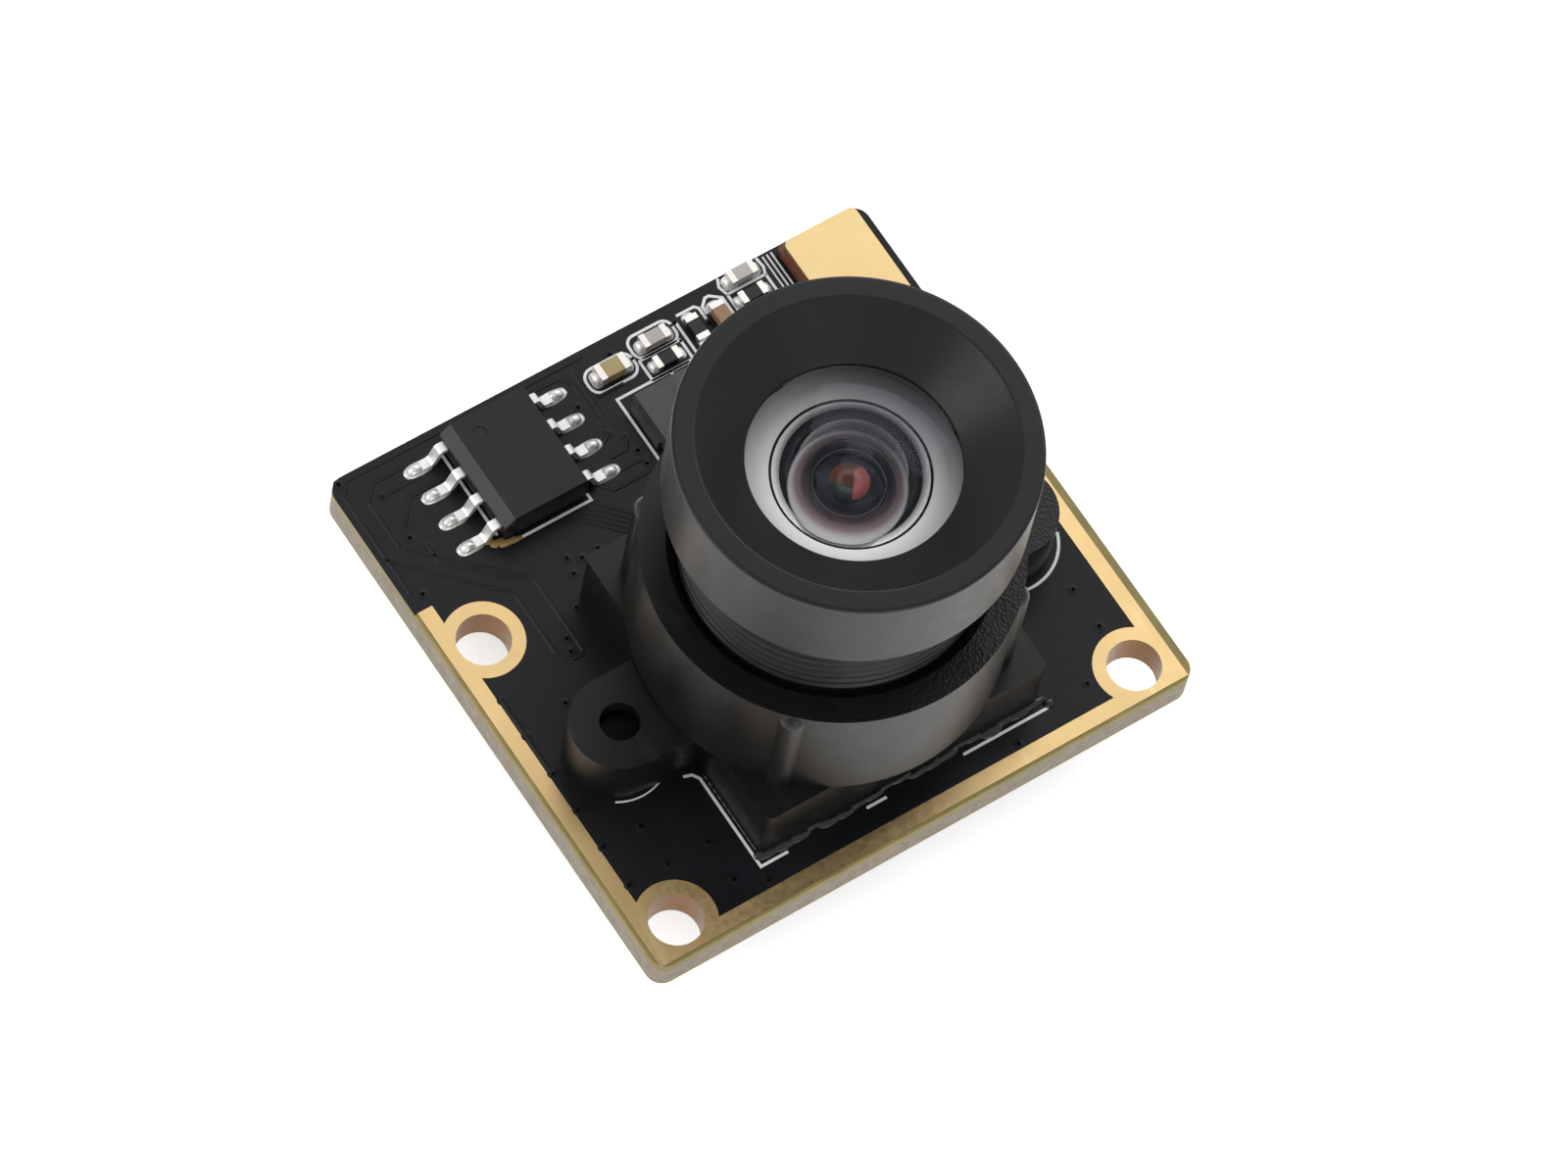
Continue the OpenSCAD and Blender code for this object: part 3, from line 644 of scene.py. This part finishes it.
def dome(mesh, place, half_x, half_y, height, power=2.6, uneven=0.0, seed=0):
    """A low rounded heap, such as a solder joint, added to an open bmesh."""
    chance = random.Random(seed)
    steps, levels = 20, 5
    rings = []
    for level in range(levels):
        lift = level / levels
        spread = math.cos(lift * math.pi / 2) ** 0.6
        ring = []
        for i in range(steps):
            a = 2 * math.pi * i / steps
            c, s = math.cos(a), math.sin(a)
            k = (abs(c) ** power + abs(s) ** power) ** (-1 / power) * spread
            k *= 1 + uneven * (chance.random() - 0.5)
            ring.append(mesh.verts.new(place + Vector((half_x * c * k * MM, half_y * s * k * MM,
                                                       height * lift * MM))))
        rings.append(ring)
    peak = mesh.verts.new(place + Vector((0, 0, height * MM * 0.96)))
    for a, b in zip(rings, rings[1:]):
        for i in range(steps):
            j = (i + 1) % steps
            mesh.faces.new((a[i], a[j], b[j], b[i]))
    for i in range(steps):
        mesh.faces.new((rings[-1][i], rings[-1][(i + 1) % steps], peak))
    mesh.faces.new(rings[0][::-1])


print("helpers for meshes are ready")

# %% [markdown]
# ## Lens barrel with its thread
# The barrel is turned from aluminium, and its M12 thread has half a millimetre of pitch. The CAD
# barrel is a plain cylinder there, so this piece stands for it: one revolved profile, and a wave
# that follows the turning angle cuts the helix.

# %% Lens barrel
PITCH = 0.5 * MM
THREAD_DEPTH = 0.2 * MM
head_top = barrel_high[2]
neck_end = barrel_low[2]
head_r = (barrel_high[0] - barrel_low[0]) / 2
neck_r = 6.0 * MM
head_foot = head_top - 4.3 * MM
bore_r = 4.45 * MM
throat_r = 4.12 * MM
throat_z = head_top - 1.6 * MM
lip = 0.16 * MM
rim_width = 0.87 * MM
rim_r = head_r - rim_width
turned = 0.03 * MM
samples_per_pitch = 8
thread_top = head_foot - 0.35 * MM
thread_low = neck_end + 0.3 * MM
thread_steps = int((thread_top - thread_low) / PITCH * samples_per_pitch)
profile = [(bore_r, neck_end), (neck_r - 0.3 * MM, neck_end)]
first_thread = len(profile)
profile += [(neck_r, thread_low + (thread_top - thread_low) * i / thread_steps)
            for i in range(thread_steps + 1)]
last_thread = len(profile)
profile += [(neck_r - THREAD_DEPTH, thread_top + 0.06 * MM), (neck_r - THREAD_DEPTH, head_foot),
            (head_r - 0.16 * MM, head_foot), (head_r - 0.04 * MM, head_foot + 0.05 * MM),
            (head_r, head_foot + 0.16 * MM), (head_r, head_top - 0.12 * MM),
            (head_r - turned, head_top - turned), (head_r - 0.12 * MM, head_top),
            (rim_r + turned, head_top), (rim_r - turned, head_top - turned),
            (throat_r + turned, throat_z + turned), (throat_r, throat_z),
            (throat_r, throat_z - lip), (bore_r, throat_z - lip)]


def hold_edges(points, first, last, near=0.03 * MM, long=0.25 * MM):
    """Adds points beside the ends of long straight stretches, which keeps their shading flat.
    The thread, from first to last, is left as it is and comes back with its new place."""
    held, place = [], {}
    for i, here in enumerate(points):
        place[i] = len(held)
        held.append(here)
        there = points[(i + 1) % len(points)]
        length = math.dist(here, there)
        if length > long and not first <= i < last:
            for share in (near / length, 1 - near / length):
                held.append((here[0] + (there[0] - here[0]) * share,
                             here[1] + (there[1] - here[1]) * share))
    return held, place[first], place[last]


profile, first_thread, last_thread = hold_edges(profile, first_thread, last_thread)
CREST_SHARE = 1.25  # over 1, it flattens the crests
RUN_OUT, RUN_IN = 10, 6  # samples over which the cut fades


def thread_wave(angle, i):
    if not first_thread <= i < last_thread:
        return 0.0
    turn = (profile[i][1] / PITCH - angle / (2 * math.pi)) % 1.0
    ridge = 1 - abs(2 * turn - 1)
    fade = min(1.0, (last_thread - i) / RUN_OUT, (i - first_thread) / RUN_IN + 0.1)
    return -THREAD_DEPTH * (1 - min(1.0, ridge * CREST_SHARE)) * fade


barrel = add_piece("barrel_with_thread", revolve("barrel_with_thread", profile, 256,
                                                 wave=thread_wave),
                   mats["anodised_barrel"], "lens_barrel")
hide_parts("lens_barrel")
weighted = barrel.modifiers.new("flat_faces_rule", "WEIGHTED_NORMAL")
weighted.weight = 100
print("barrel", len(barrel.data.polygons), "faces,", thread_steps // samples_per_pitch, "turns")

# %% [markdown]
# ## Inside the front glass
# The back of the front glass is ground to a matt grey ring round its hollow. Behind it, the
# second glass sits in a stepped black ring, and the coating on the glass at the stop throws back
# orange, coral and green.

# %% A mask that runs round the lens axis
axis_group, enter, leave = new_group(
    "round_the_axis",
    [("Inner", "NodeSocketFloat", 0.0), ("Outer", "NodeSocketFloat", 1.0)],
    [("Radial", "NodeSocketFloat"), ("Side", "NodeSocketFloat")])
axes = split_axes(axis_group, object_place(axis_group))
across = add_math(axis_group, "SUBTRACT", axes[0], AXIS.x)
along = add_math(axis_group, "SUBTRACT", axes[1], AXIS.y)
square = add_math(axis_group, "ADD", add_math(axis_group, "MULTIPLY", across, across),
                  add_math(axis_group, "MULTIPLY", along, along))
radius = add_math(axis_group, "SQRT", square)
span = add_math(axis_group, "SUBTRACT", enter.outputs["Outer"], enter.outputs["Inner"])
radial = add_math(axis_group, "SUBTRACT", radius, enter.outputs["Inner"])
radial = add_math(axis_group, "DIVIDE", radial, span, clamp=True)
# Side is 0 toward the key lamp and 1 away from it; the ring and the veil use it to paint light and
# shade.
lean = add_math(axis_group, "ADD", add_math(axis_group, "MULTIPLY", across, 0.85),
                add_math(axis_group, "MULTIPLY", along, 0.55))
lean = add_math(axis_group, "DIVIDE", lean, radius)
side = add_math(axis_group, "MULTIPLY", add_math(axis_group, "SUBTRACT", 1.0, lean), 0.5,
                clamp=True)
axis_group.links.new(radial, leave.inputs["Radial"])
axis_group.links.new(side, leave.inputs["Side"])
print("group", axis_group.name)

# %% [markdown]
# The flat back of the front glass is ground matt. Its light and shade are painted in: it is
# palest round the hollow and on the side away from the key lamp, and it glows faintly. A rough
# patch on the glass itself would need very many samples, so a thin opaque ring lies under clear
# glass, with its painted light and shade set by one mask outward and one round the axis.

# %% Ground ring
ring_z = SPACER_TOP + 0.03 * MM
ring_inner, ring_outer, ring_thick = 2.9 * MM, 4.38 * MM, 0.02 * MM
ground = finish("ground_glass_ring", (0.6, 0.6, 0.62), 0.6, grain=14000, depth=0.02, drift=0.05)
tree = ground.node_tree
shape = use_group(tree, axis_group, Inner=2.95 * MM, Outer=3.5 * MM)
# Painted light and shade: a lit and a shaded grey by the side mask, paler near the hollow than
# outward.
away = mix_colour(tree, shape.outputs["Side"], (0.08, 0.08, 0.09), (0.70, 0.70, 0.72))
bright = mix_colour(tree, shape.outputs["Side"], (0.20, 0.20, 0.21), (0.97, 0.96, 0.97))
set_base(ground, mix_colour(tree, shape.outputs["Radial"], bright, away))
# Painted light: the ring glows faintly.
add_glow(ground, 0.2)
ring_profile = [(ring_inner, ring_z), (ring_outer, ring_z),
                (ring_outer, ring_z + ring_thick), (ring_inner, ring_z + ring_thick)]
add_piece("ground_ring", revolve("ground_ring", ring_profile, 96), ground, "lens_stack")
print("ground ring", round(2 * ring_outer / MM, 2), "mm across")

# %% [markdown]
# The wall of the hollow catches light too: white at the mouth, then rose, then black toward the
# stop. That light comes by way of caustics, which are slow and noisy. A thin disc carries the
# same colours as painted light, with painted shade toward the key lamp and a faint glow, and
# fades out inward, where the second glass shows.

# %% Painted light over the mouth of the hollow
veil = finish("hollow_veil", (0.8, 0.78, 0.79), 0.5, grain=12000, depth=0.02, drift=0.05)
tree = veil.node_tree
veil_inner, veil_outer, veil_thick = 1.6 * MM, 2.78 * MM, 0.01 * MM
shape = use_group(tree, axis_group, Inner=veil_inner, Outer=veil_outer)
# Painted light of the hollow's wall: black toward the stop, then rose, then white at the mouth.
ramp = tree.nodes.new("ShaderNodeValToRGB")
for position, colour in ((0.0, (0.01, 0.01, 0.012)), (0.42, (0.06, 0.03, 0.04)),
                         (0.7, (0.34, 0.25, 0.28)), (0.92, (0.95, 0.93, 0.94))):
    stop = ramp.color_ramp.elements.new(position)
    stop.color = (*colour, 1.0)
ramp.color_ramp.elements.remove(ramp.color_ramp.elements[0])
ramp.color_ramp.elements.remove(ramp.color_ramp.elements[-1])
tree.links.new(shape.outputs["Radial"], ramp.inputs["Fac"])
# Painted shade on the side toward the key lamp.
shaded = mix_colour(tree, shape.outputs["Side"], (0.16, 0.15, 0.16), (1.0, 1.0, 1.0))
set_base(veil, mix_colour(tree, 1.0, ramp.outputs["Color"], shaded, "MULTIPLY"))
fade = add_math(tree, "POWER", shape.outputs["Radial"], 1.1, clamp=True)
tree.links.new(fade, shader_of(veil).inputs["Alpha"])
# Painted light: the disc glows faintly.
add_glow(veil, 0.2)
veil_profile = [(veil_inner, ring_z), (veil_outer, ring_z),
                (veil_outer, ring_z + veil_thick), (veil_inner, ring_z + veil_thick)]
add_piece("hollow_veil", revolve("hollow_veil", veil_profile, 96), veil, "lens_stack")
print("veil", round(2 * veil_outer / MM, 2), "mm across")

# %% [markdown]
# The second glass and the stop sit on turned shoulders, which show as fine bright circles. Each
# is a thin ring, because a highlight that narrow on the shoulder's own edge would flicker.

# %% Bright circles of the seats
seats = finish("turned_seat", (0.30, 0.30, 0.31), 0.3, metallic=0.6, grain=9000)
wire_r = 0.03 * MM
for name, seat_r, seat_z in (("second_glass_seat", 2.35 * MM, GLASS_BACK - 0.45 * MM),
                             ("pupil_seat", 1.75 * MM, GLASS_BACK - 0.5 * MM)):
    loop = [(seat_r + wire_r * math.cos(t * math.pi / 3),
             seat_z + wire_r * math.sin(t * math.pi / 3)) for t in range(6)]
    add_piece(name, revolve(name, loop, 96), seats, "lens_stack")
print("two seat circles,", round(2 * wire_r / MM, 2), "mm thick")

# %% [markdown]
# The coating at the stop throws light back as orange, coral and green. Real thin films could be
# computed. A small disc with three fields of painted reflection is steadier and shows the same
# thing.

# %% Coated pupil
coat = finish("pupil_coating", (0.25, 0.08, 0.02), 0.2, grain=5000, depth=0.05)
tree = coat.node_tree
axes = split_axes(tree, object_place(tree))
SLANT, BORDER = 0.8, 0.35 * MM
warm = add_noise(tree, 900.0, 2.0)
orange = mix_colour(tree, warm, (0.035, 0.009, 0.0), (0.28, 0.075, 0.015))
low_side = add_math(tree, "ADD", axes[0], axes[1])
low = add_math(tree, "LESS_THAN", low_side, AXIS.x + AXIS.y - BORDER)
green = mix_colour(tree, low, orange, (0.025, 0.045, 0.01))
slope = add_math(tree, "MULTIPLY", axes[1], SLANT)
right = add_math(tree, "GREATER_THAN", add_math(tree, "SUBTRACT", axes[0], slope),
                 AXIS.x - AXIS.y * SLANT + 0.25 * MM)
front = add_math(tree, "LESS_THAN", axes[1], AXIS.y + BORDER)
set_base(coat, mix_colour(tree, add_math(tree, "MULTIPLY", right, front), green,
                          (0.68, 0.15, 0.14)))
pupil_r = 0.97 * MM
disc_z = GLASS_BACK - 0.62 * MM
nearly_0 = 0.001 * MM
disc_thick = 0.02 * MM
disc_profile = [(nearly_0, disc_z), (pupil_r, disc_z), (pupil_r, disc_z + disc_thick),
                (nearly_0, disc_z + disc_thick)]
add_piece("coated_pupil", revolve("coated_pupil", disc_profile, 64), coat, "lens_stack")
print("pupil", round(2 * pupil_r / MM, 2), "mm across")

# %% [markdown]
# ## Tracks, vias and print on the board
# Copper tracks lift the mask by a few hundredths of a millimetre, which is what shows them. The
# print is a thin white ink that stands on top. Both are strips along short lists of points.

# %% Tracks under the mask
TRACK_WIDTH, TRACK_HEIGHT = 0.17, 0.028
tracks = [
    [(0.35, 18.4), (0.35, 23.2), (0.8, 23.72), (11.6, 23.72)],
    [(1.05, 20.3), (1.05, 22.5), (1.65, 23.12), (3.0, 23.12)],
    [(1.75, 22.45), (3.0, 22.45)], [(1.75, 20.95), (2.55, 21.9), (4.2, 21.9)],
    [(0.25, 20.1), (3.85, 16.3), (3.85, 13.4), (4.3, 12.8), (4.7, 12.8)],
    [(1.3, 20.0), (4.85, 16.5), (4.85, 13.0)], [(2.05, 19.75), (2.05, 18.9), (4.1, 16.9)],
    [(9.2, 18.6), (9.65, 18.15), (11.8, 18.15)], [(10.35, 19.4), (11.0, 19.4), (11.3, 19.85)],
    [(10.4, 20.1), (10.8, 20.35)], [(10.35, 18.75), (11.3, 18.75)],
    [(10.75, 20.8), (10.75, 22.9), (10.3, 23.35), (9.2, 23.35)],
    [(11.0, 21.2), (11.0, 23.3)], [(0.95, 12.7), (0.95, 9.2)], [(11.35, 21.9), (12.4, 21.9)],
] + [[(7.4 + 0.32 * i, 18.05), (9.05 + 0.32 * i, 16.4 - 0.02 * i), (10.9, 16.4 + 0.24 * i)]
     for i in range(5)]
add_piece("track_relief", strokes("track_relief", tracks, TRACK_WIDTH, TRACK_HEIGHT, top_share=0.55),
          mats["solder_mask"], "board", smooth=False)
print(len(tracks), "tracks")

# %% [markdown]
# White ink is screened round the parts, about a tenth of a millimetre wide. It could be an
# image, but strips stay crisp close up and catch light at their sides. Only outlines are made.

# %% Printed outlines
INK_WIDTH, FINE_INK_WIDTH, INK_HEIGHT = 0.12, 0.07, 0.012
outlines = [
    [(4.62, 22.75), (4.62, 18.85)], [(4.98, 18.24), (8.62, 18.24), (8.62, 18.5)],
    oblong(12.3, 22.53, 2.15, 1.13, 0.45), oblong(14.52, 22.97, 2.0, 1.05, 0.38),
    oblong(14.5, 21.93, 1.92, 0.98, 0.06),
    [(11.87, 18.2), (11.87, 21.42), (15.2, 21.42)], [(14.38, 21.35), (14.38, 20.95)],
    [(15.72, 21.6), (15.72, 23.05)],
    [(15.95, 23.37), (16.72, 23.37), (16.86, 23.22), (16.86, 22.72)],
    [(17.02, 22.9), (17.02, 23.2), (17.32, 23.48), (17.5, 23.48), (17.93, 23.15), (17.93, 22.3)],
    [(18.2, 23.9), (18.06, 23.6), (18.18, 23.17), (19.98, 23.17), (20.1, 23.5), (20.05, 23.9)],
    [(18.17, 22.25), (18.17, 23.1)], [(19.99, 23.1), (19.99, 22.25)],
    [(5.3, 6.42), (5.58, 6.33), (5.76, 6.05), (5.76, 1.74), (6.95, 1.74)],
    [(10.7, 1.74), (11.5, 1.74)], [(15.2, 1.74), (19.05, 1.74), (19.2, 1.9), (19.2, 2.1)],
    arc(21.5, 8.69, 2.32, 262, 338),
]
add_piece("printed_outlines", strokes("printed_outlines", outlines, INK_WIDTH, INK_HEIGHT),
          mats["print_white"], "board", smooth=False)
fine_lines = [[(20.3 + 0.2 * i, 22.2), (20.3 + 0.2 * i, 23.85)] for i in range(3)]
fine_lines.append(arc(3.5, 8.69, 2.14, 240, 300))
add_piece("printed_fine_lines",
          strokes("printed_fine_lines", fine_lines, FINE_INK_WIDTH, INK_HEIGHT),
          mats["print_white"], "board", smooth=False)
print(len(outlines) + len(fine_lines), "printed lines")

# %% [markdown]
# A via is a small plated hole under the mask: a dark mouth in a slight collar. Drilling them
# would change the CAD mesh, so each is two low domes, with the mouth a little out of round and
# painted dark as the shade inside the hole.

# %% Vias
vias = [(0.45, 23.75), (1.68, 22.45), (1.62, 20.4), (2.05, 19.75), (0.75, 18.1), (0.97, 12.7),
        (0.97, 10.95), (3.02, 11.38), (4.55, 13.68), (4.4, 13.12), (0.97, 9.1), (0.97, 7.3),
        (0.97, 5.5), (0.97, 3.65), (2.72, 3.65), (4.58, 3.65), (4.58, 1.82), (5.72, 1.12),
        (17.27, 1.03), (21.02, 1.82), (22.82, 3.65), (22.82, 5.48), (10.78, 20.35),
        (11.3, 19.88), (11.37, 19.15), (11.37, 18.5), (10.37, 21.92), (6.42, 16.6),
        (6.95, 16.32), (7.72, 16.35), (15.68, 23.15), (16.85, 22.45), (5.6, 14.6),
        (6.3, 15.9), (2.7, 5.5), (12.7, 23.25)]
pits = bmesh.new()
collars = bmesh.new()
for number, (x, y) in enumerate(vias):
    dome(collars, on_board(x, y), 0.22, 0.22, 0.014, power=2.0)
    # Painted shade: the mouth dome is near black and barely reflects, standing for the hole's shade.
    dome(pits, on_board(x, y), 0.11, 0.11, 0.022, power=2.0, uneven=0.12, seed=number)
add_piece("via_collars", finish_mesh("via_collars", collars), mats["solder_mask"], "board")
add_piece("via_mouths", finish_mesh("via_mouths", pits), mats["via_dark"], "board")
print(len(vias), "vias")

# %% [markdown]
# ## Solder
# Solder wets the pad and climbs the end of the part, so each joint is a low heap that is highest
# against the metal. Small random changes keep the row from looking stamped.

# %% Solder joints
LEAD_PITCH, FOOT_REACH, END_REACH = 1.29, 3.1, 0.27
joints = bmesh.new()
chip_x = (chip_low[0] + chip_high[0]) / 2 - board_low[0]
chip_y = (chip_low[1] + chip_high[1]) / 2 - board_low[1]
for row in range(4):
    y = chip_y / MM + (row - 1.5) * LEAD_PITCH
    for side in (-1, 1):
        x = chip_x / MM + side * FOOT_REACH
        dome(joints, on_board(x, y), 0.66, 0.31, 0.17, uneven=0.07, seed=row + 9 * side)
        dome(joints, on_board(x + side * 0.16, y, 0.02), 0.36, 0.24, 0.3, uneven=0.1,
             seed=row + 40 + side)
for node in list(frame["nodes"]):
    if not node.startswith(("capacitor", "resistor")):
        continue
    low, high = (Vector(v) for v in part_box(node))
    along = 0 if high.x - low.x > high.y - low.y else 1
    middle = (low + high) / 2
    for side in (-1, 1):
        place = Vector((middle.x, middle.y, TOP))
        place[along] += side * (high[along] - low[along]) / 2
        reach = [(high[1 - along] - low[1 - along]) / 2 / MM * 1.05] * 2
        reach[along] = END_REACH
        dome(joints, place, reach[0], reach[1], (high.z - low.z) / MM * 0.72, power=3.2,
             uneven=0.06, seed=len(node) % 17 + side)
solder = add_piece("solder_joints", finish_mesh("solder_joints", joints), mats["solder"],
                   "board")
print("solder joints,", len(solder.data.polygons), "faces")

# %% [markdown]
# Flux ran out from under a lead and dried brown at the printed corner. Four flat drops of
# different sizes run together into one stain, which a single round drop wouldn't show.

# %% Flux left beside the chip
stain = bmesh.new()
drops = [(4.45, 18.5, 0.3, 0.16), (4.85, 18.32, 0.4, 0.14), (4.2, 18.72, 0.2, 0.12),
         (5.25, 18.26, 0.2, 0.1)]
for number, (x, y, w, h) in enumerate(drops):
    dome(stain, on_board(x, y), w, h, 0.05, uneven=0.25, seed=number)
add_piece("flux_stain", finish_mesh("flux_stain", stain), mats["flux"], "board")
print("flux stain of", len(drops), "drops")

# %% [markdown]
# ## Glue bead
# The holder is sealed to the board with a black glue that creeps out unevenly under its foot.

# %% Glue bead
glue = finish("glue_black", (0.008, 0.008, 0.009), 0.16, grain=1800, depth=0.4)
bead = bmesh.new()
chance = random.Random(5)
block_left, block_low, block_right = 6.0, 2.19, 19.0
heaps_along, heaps_up = 19, 12
for i in range(heaps_along):
    x = block_left + (block_right - block_left) * (i + 0.5) / heaps_along
    size = 0.16 + 0.24 * chance.random()
    dome(bead, on_board(x, block_low - 0.02), 0.62, size, 0.14 + 0.05 * chance.random(),
         power=2.2, seed=i)
for i in range(heaps_up):
    y = block_low + 0.35 * i
    dome(bead, on_board(block_left - 0.02, y), 0.08, 0.3, 0.1, power=2.0, seed=i + 90)
dome(bead, on_board(19.25, 1.9), 0.24, 0.2, 0.12, uneven=0.2, seed=3)
add_piece("glue_bead", finish_mesh("glue_bead", bead), glue, "board")
print("glue bead of", heaps_along + heaps_up + 1, "heaps")

# %% [markdown]
# ## Light and floor
# Large soft lamps give dark satin pieces their long grey gradients. The floor and world are
# white to the camera and to reflections, and plain to everything else.

# %% Floor
reach, under = 0.6, -0.02 * MM  # just clear of the part, so that the two never share a plane
floor_mesh = bpy.data.meshes.new("floor")
floor_mesh.from_pydata([(-reach, -reach, under), (reach, -reach, under),
                        (reach, reach, under), (-reach, reach, under)], [], [(0, 1, 2, 3)])
floor = put_in_scene("floor", floor_mesh)
floor_paint, tree, shader = new_material("floor_paint")
shader.inputs["Base Color"].default_value = (0.9, 0.9, 0.9, 1)
shader.inputs["Roughness"].default_value = 0.9
rays = tree.nodes.new("ShaderNodeLightPath")
seen = add_math(tree, "MAXIMUM", rays.outputs["Is Camera Ray"], rays.outputs["Is Glossy Ray"])
seen = add_math(tree, "MAXIMUM", seen, rays.outputs["Is Transmission Ray"])
shader.inputs["Emission Color"].default_value = (1, 1, 1, 1)
tree.links.new(add_math(tree, "MULTIPLY", seen, 0.6), shader.inputs["Emission Strength"])
floor.data.materials.append(floor_paint)
print("floor", 2 * reach, "m wide")

# %% [markdown]
# The surroundings fill the shadows with soft white. What the camera sees directly is brighter,
# so that the background is clean and the part isn't washed out by it.

# %% World
SKY_FILL, SKY_SEEN = 0.7, 0.3
world = bpy.data.worlds.new("studio")
bpy.context.scene.world = world
world.use_nodes = True
tree = world.node_tree
sky = tree.nodes["Background"]
rays = tree.nodes.new("ShaderNodeLightPath")
strength = add_math(tree, "MULTIPLY", rays.outputs["Is Camera Ray"], SKY_SEEN)
sky.inputs["Color"].default_value = (1, 1, 1, 1)
tree.links.new(add_math(tree, "ADD", strength, SKY_FILL), sky.inputs["Strength"])
print("world", world.name)

# %% [markdown]
# The key lamp stands behind the part as the camera sees it. A second is at the left, and a small
# warm one is low at the right. They are wide, so that satin cylinders get gradients and no lines.

# %% Lamps
def add_lamp(name, place, size, power, colour=(1, 1, 1)):
    data = bpy.data.lights.new(name, "AREA")
    data.shape = "RECTANGLE"
    data.size, data.size_y = size
    data.energy = power
    data.color = colour
    lamp = put_in_scene(name, data)
    lamp.location = place
    aim = AXIS + Vector((0, 0, TOP)) - lamp.location
    lamp.rotation_euler = aim.to_track_quat("-Z", "Y").to_euler()


add_lamp("key_lamp", Vector((0.30, 0.22, 0.34)), (0.40, 0.30), 0.62)
add_lamp("side_lamp", Vector((-0.38, 0.16, 0.26)), (0.26, 0.36), 0.55, (1.0, 0.97, 0.94))
add_lamp("front_lamp", Vector((-0.06, -0.42, 0.16)), (0.30, 0.14), 0.30, (1.0, 0.88, 0.76))

# %% [markdown]
# The dressed model has to fill the same box as the CAD model, because pictures and simulation
# share one frame.


print("dressing done")
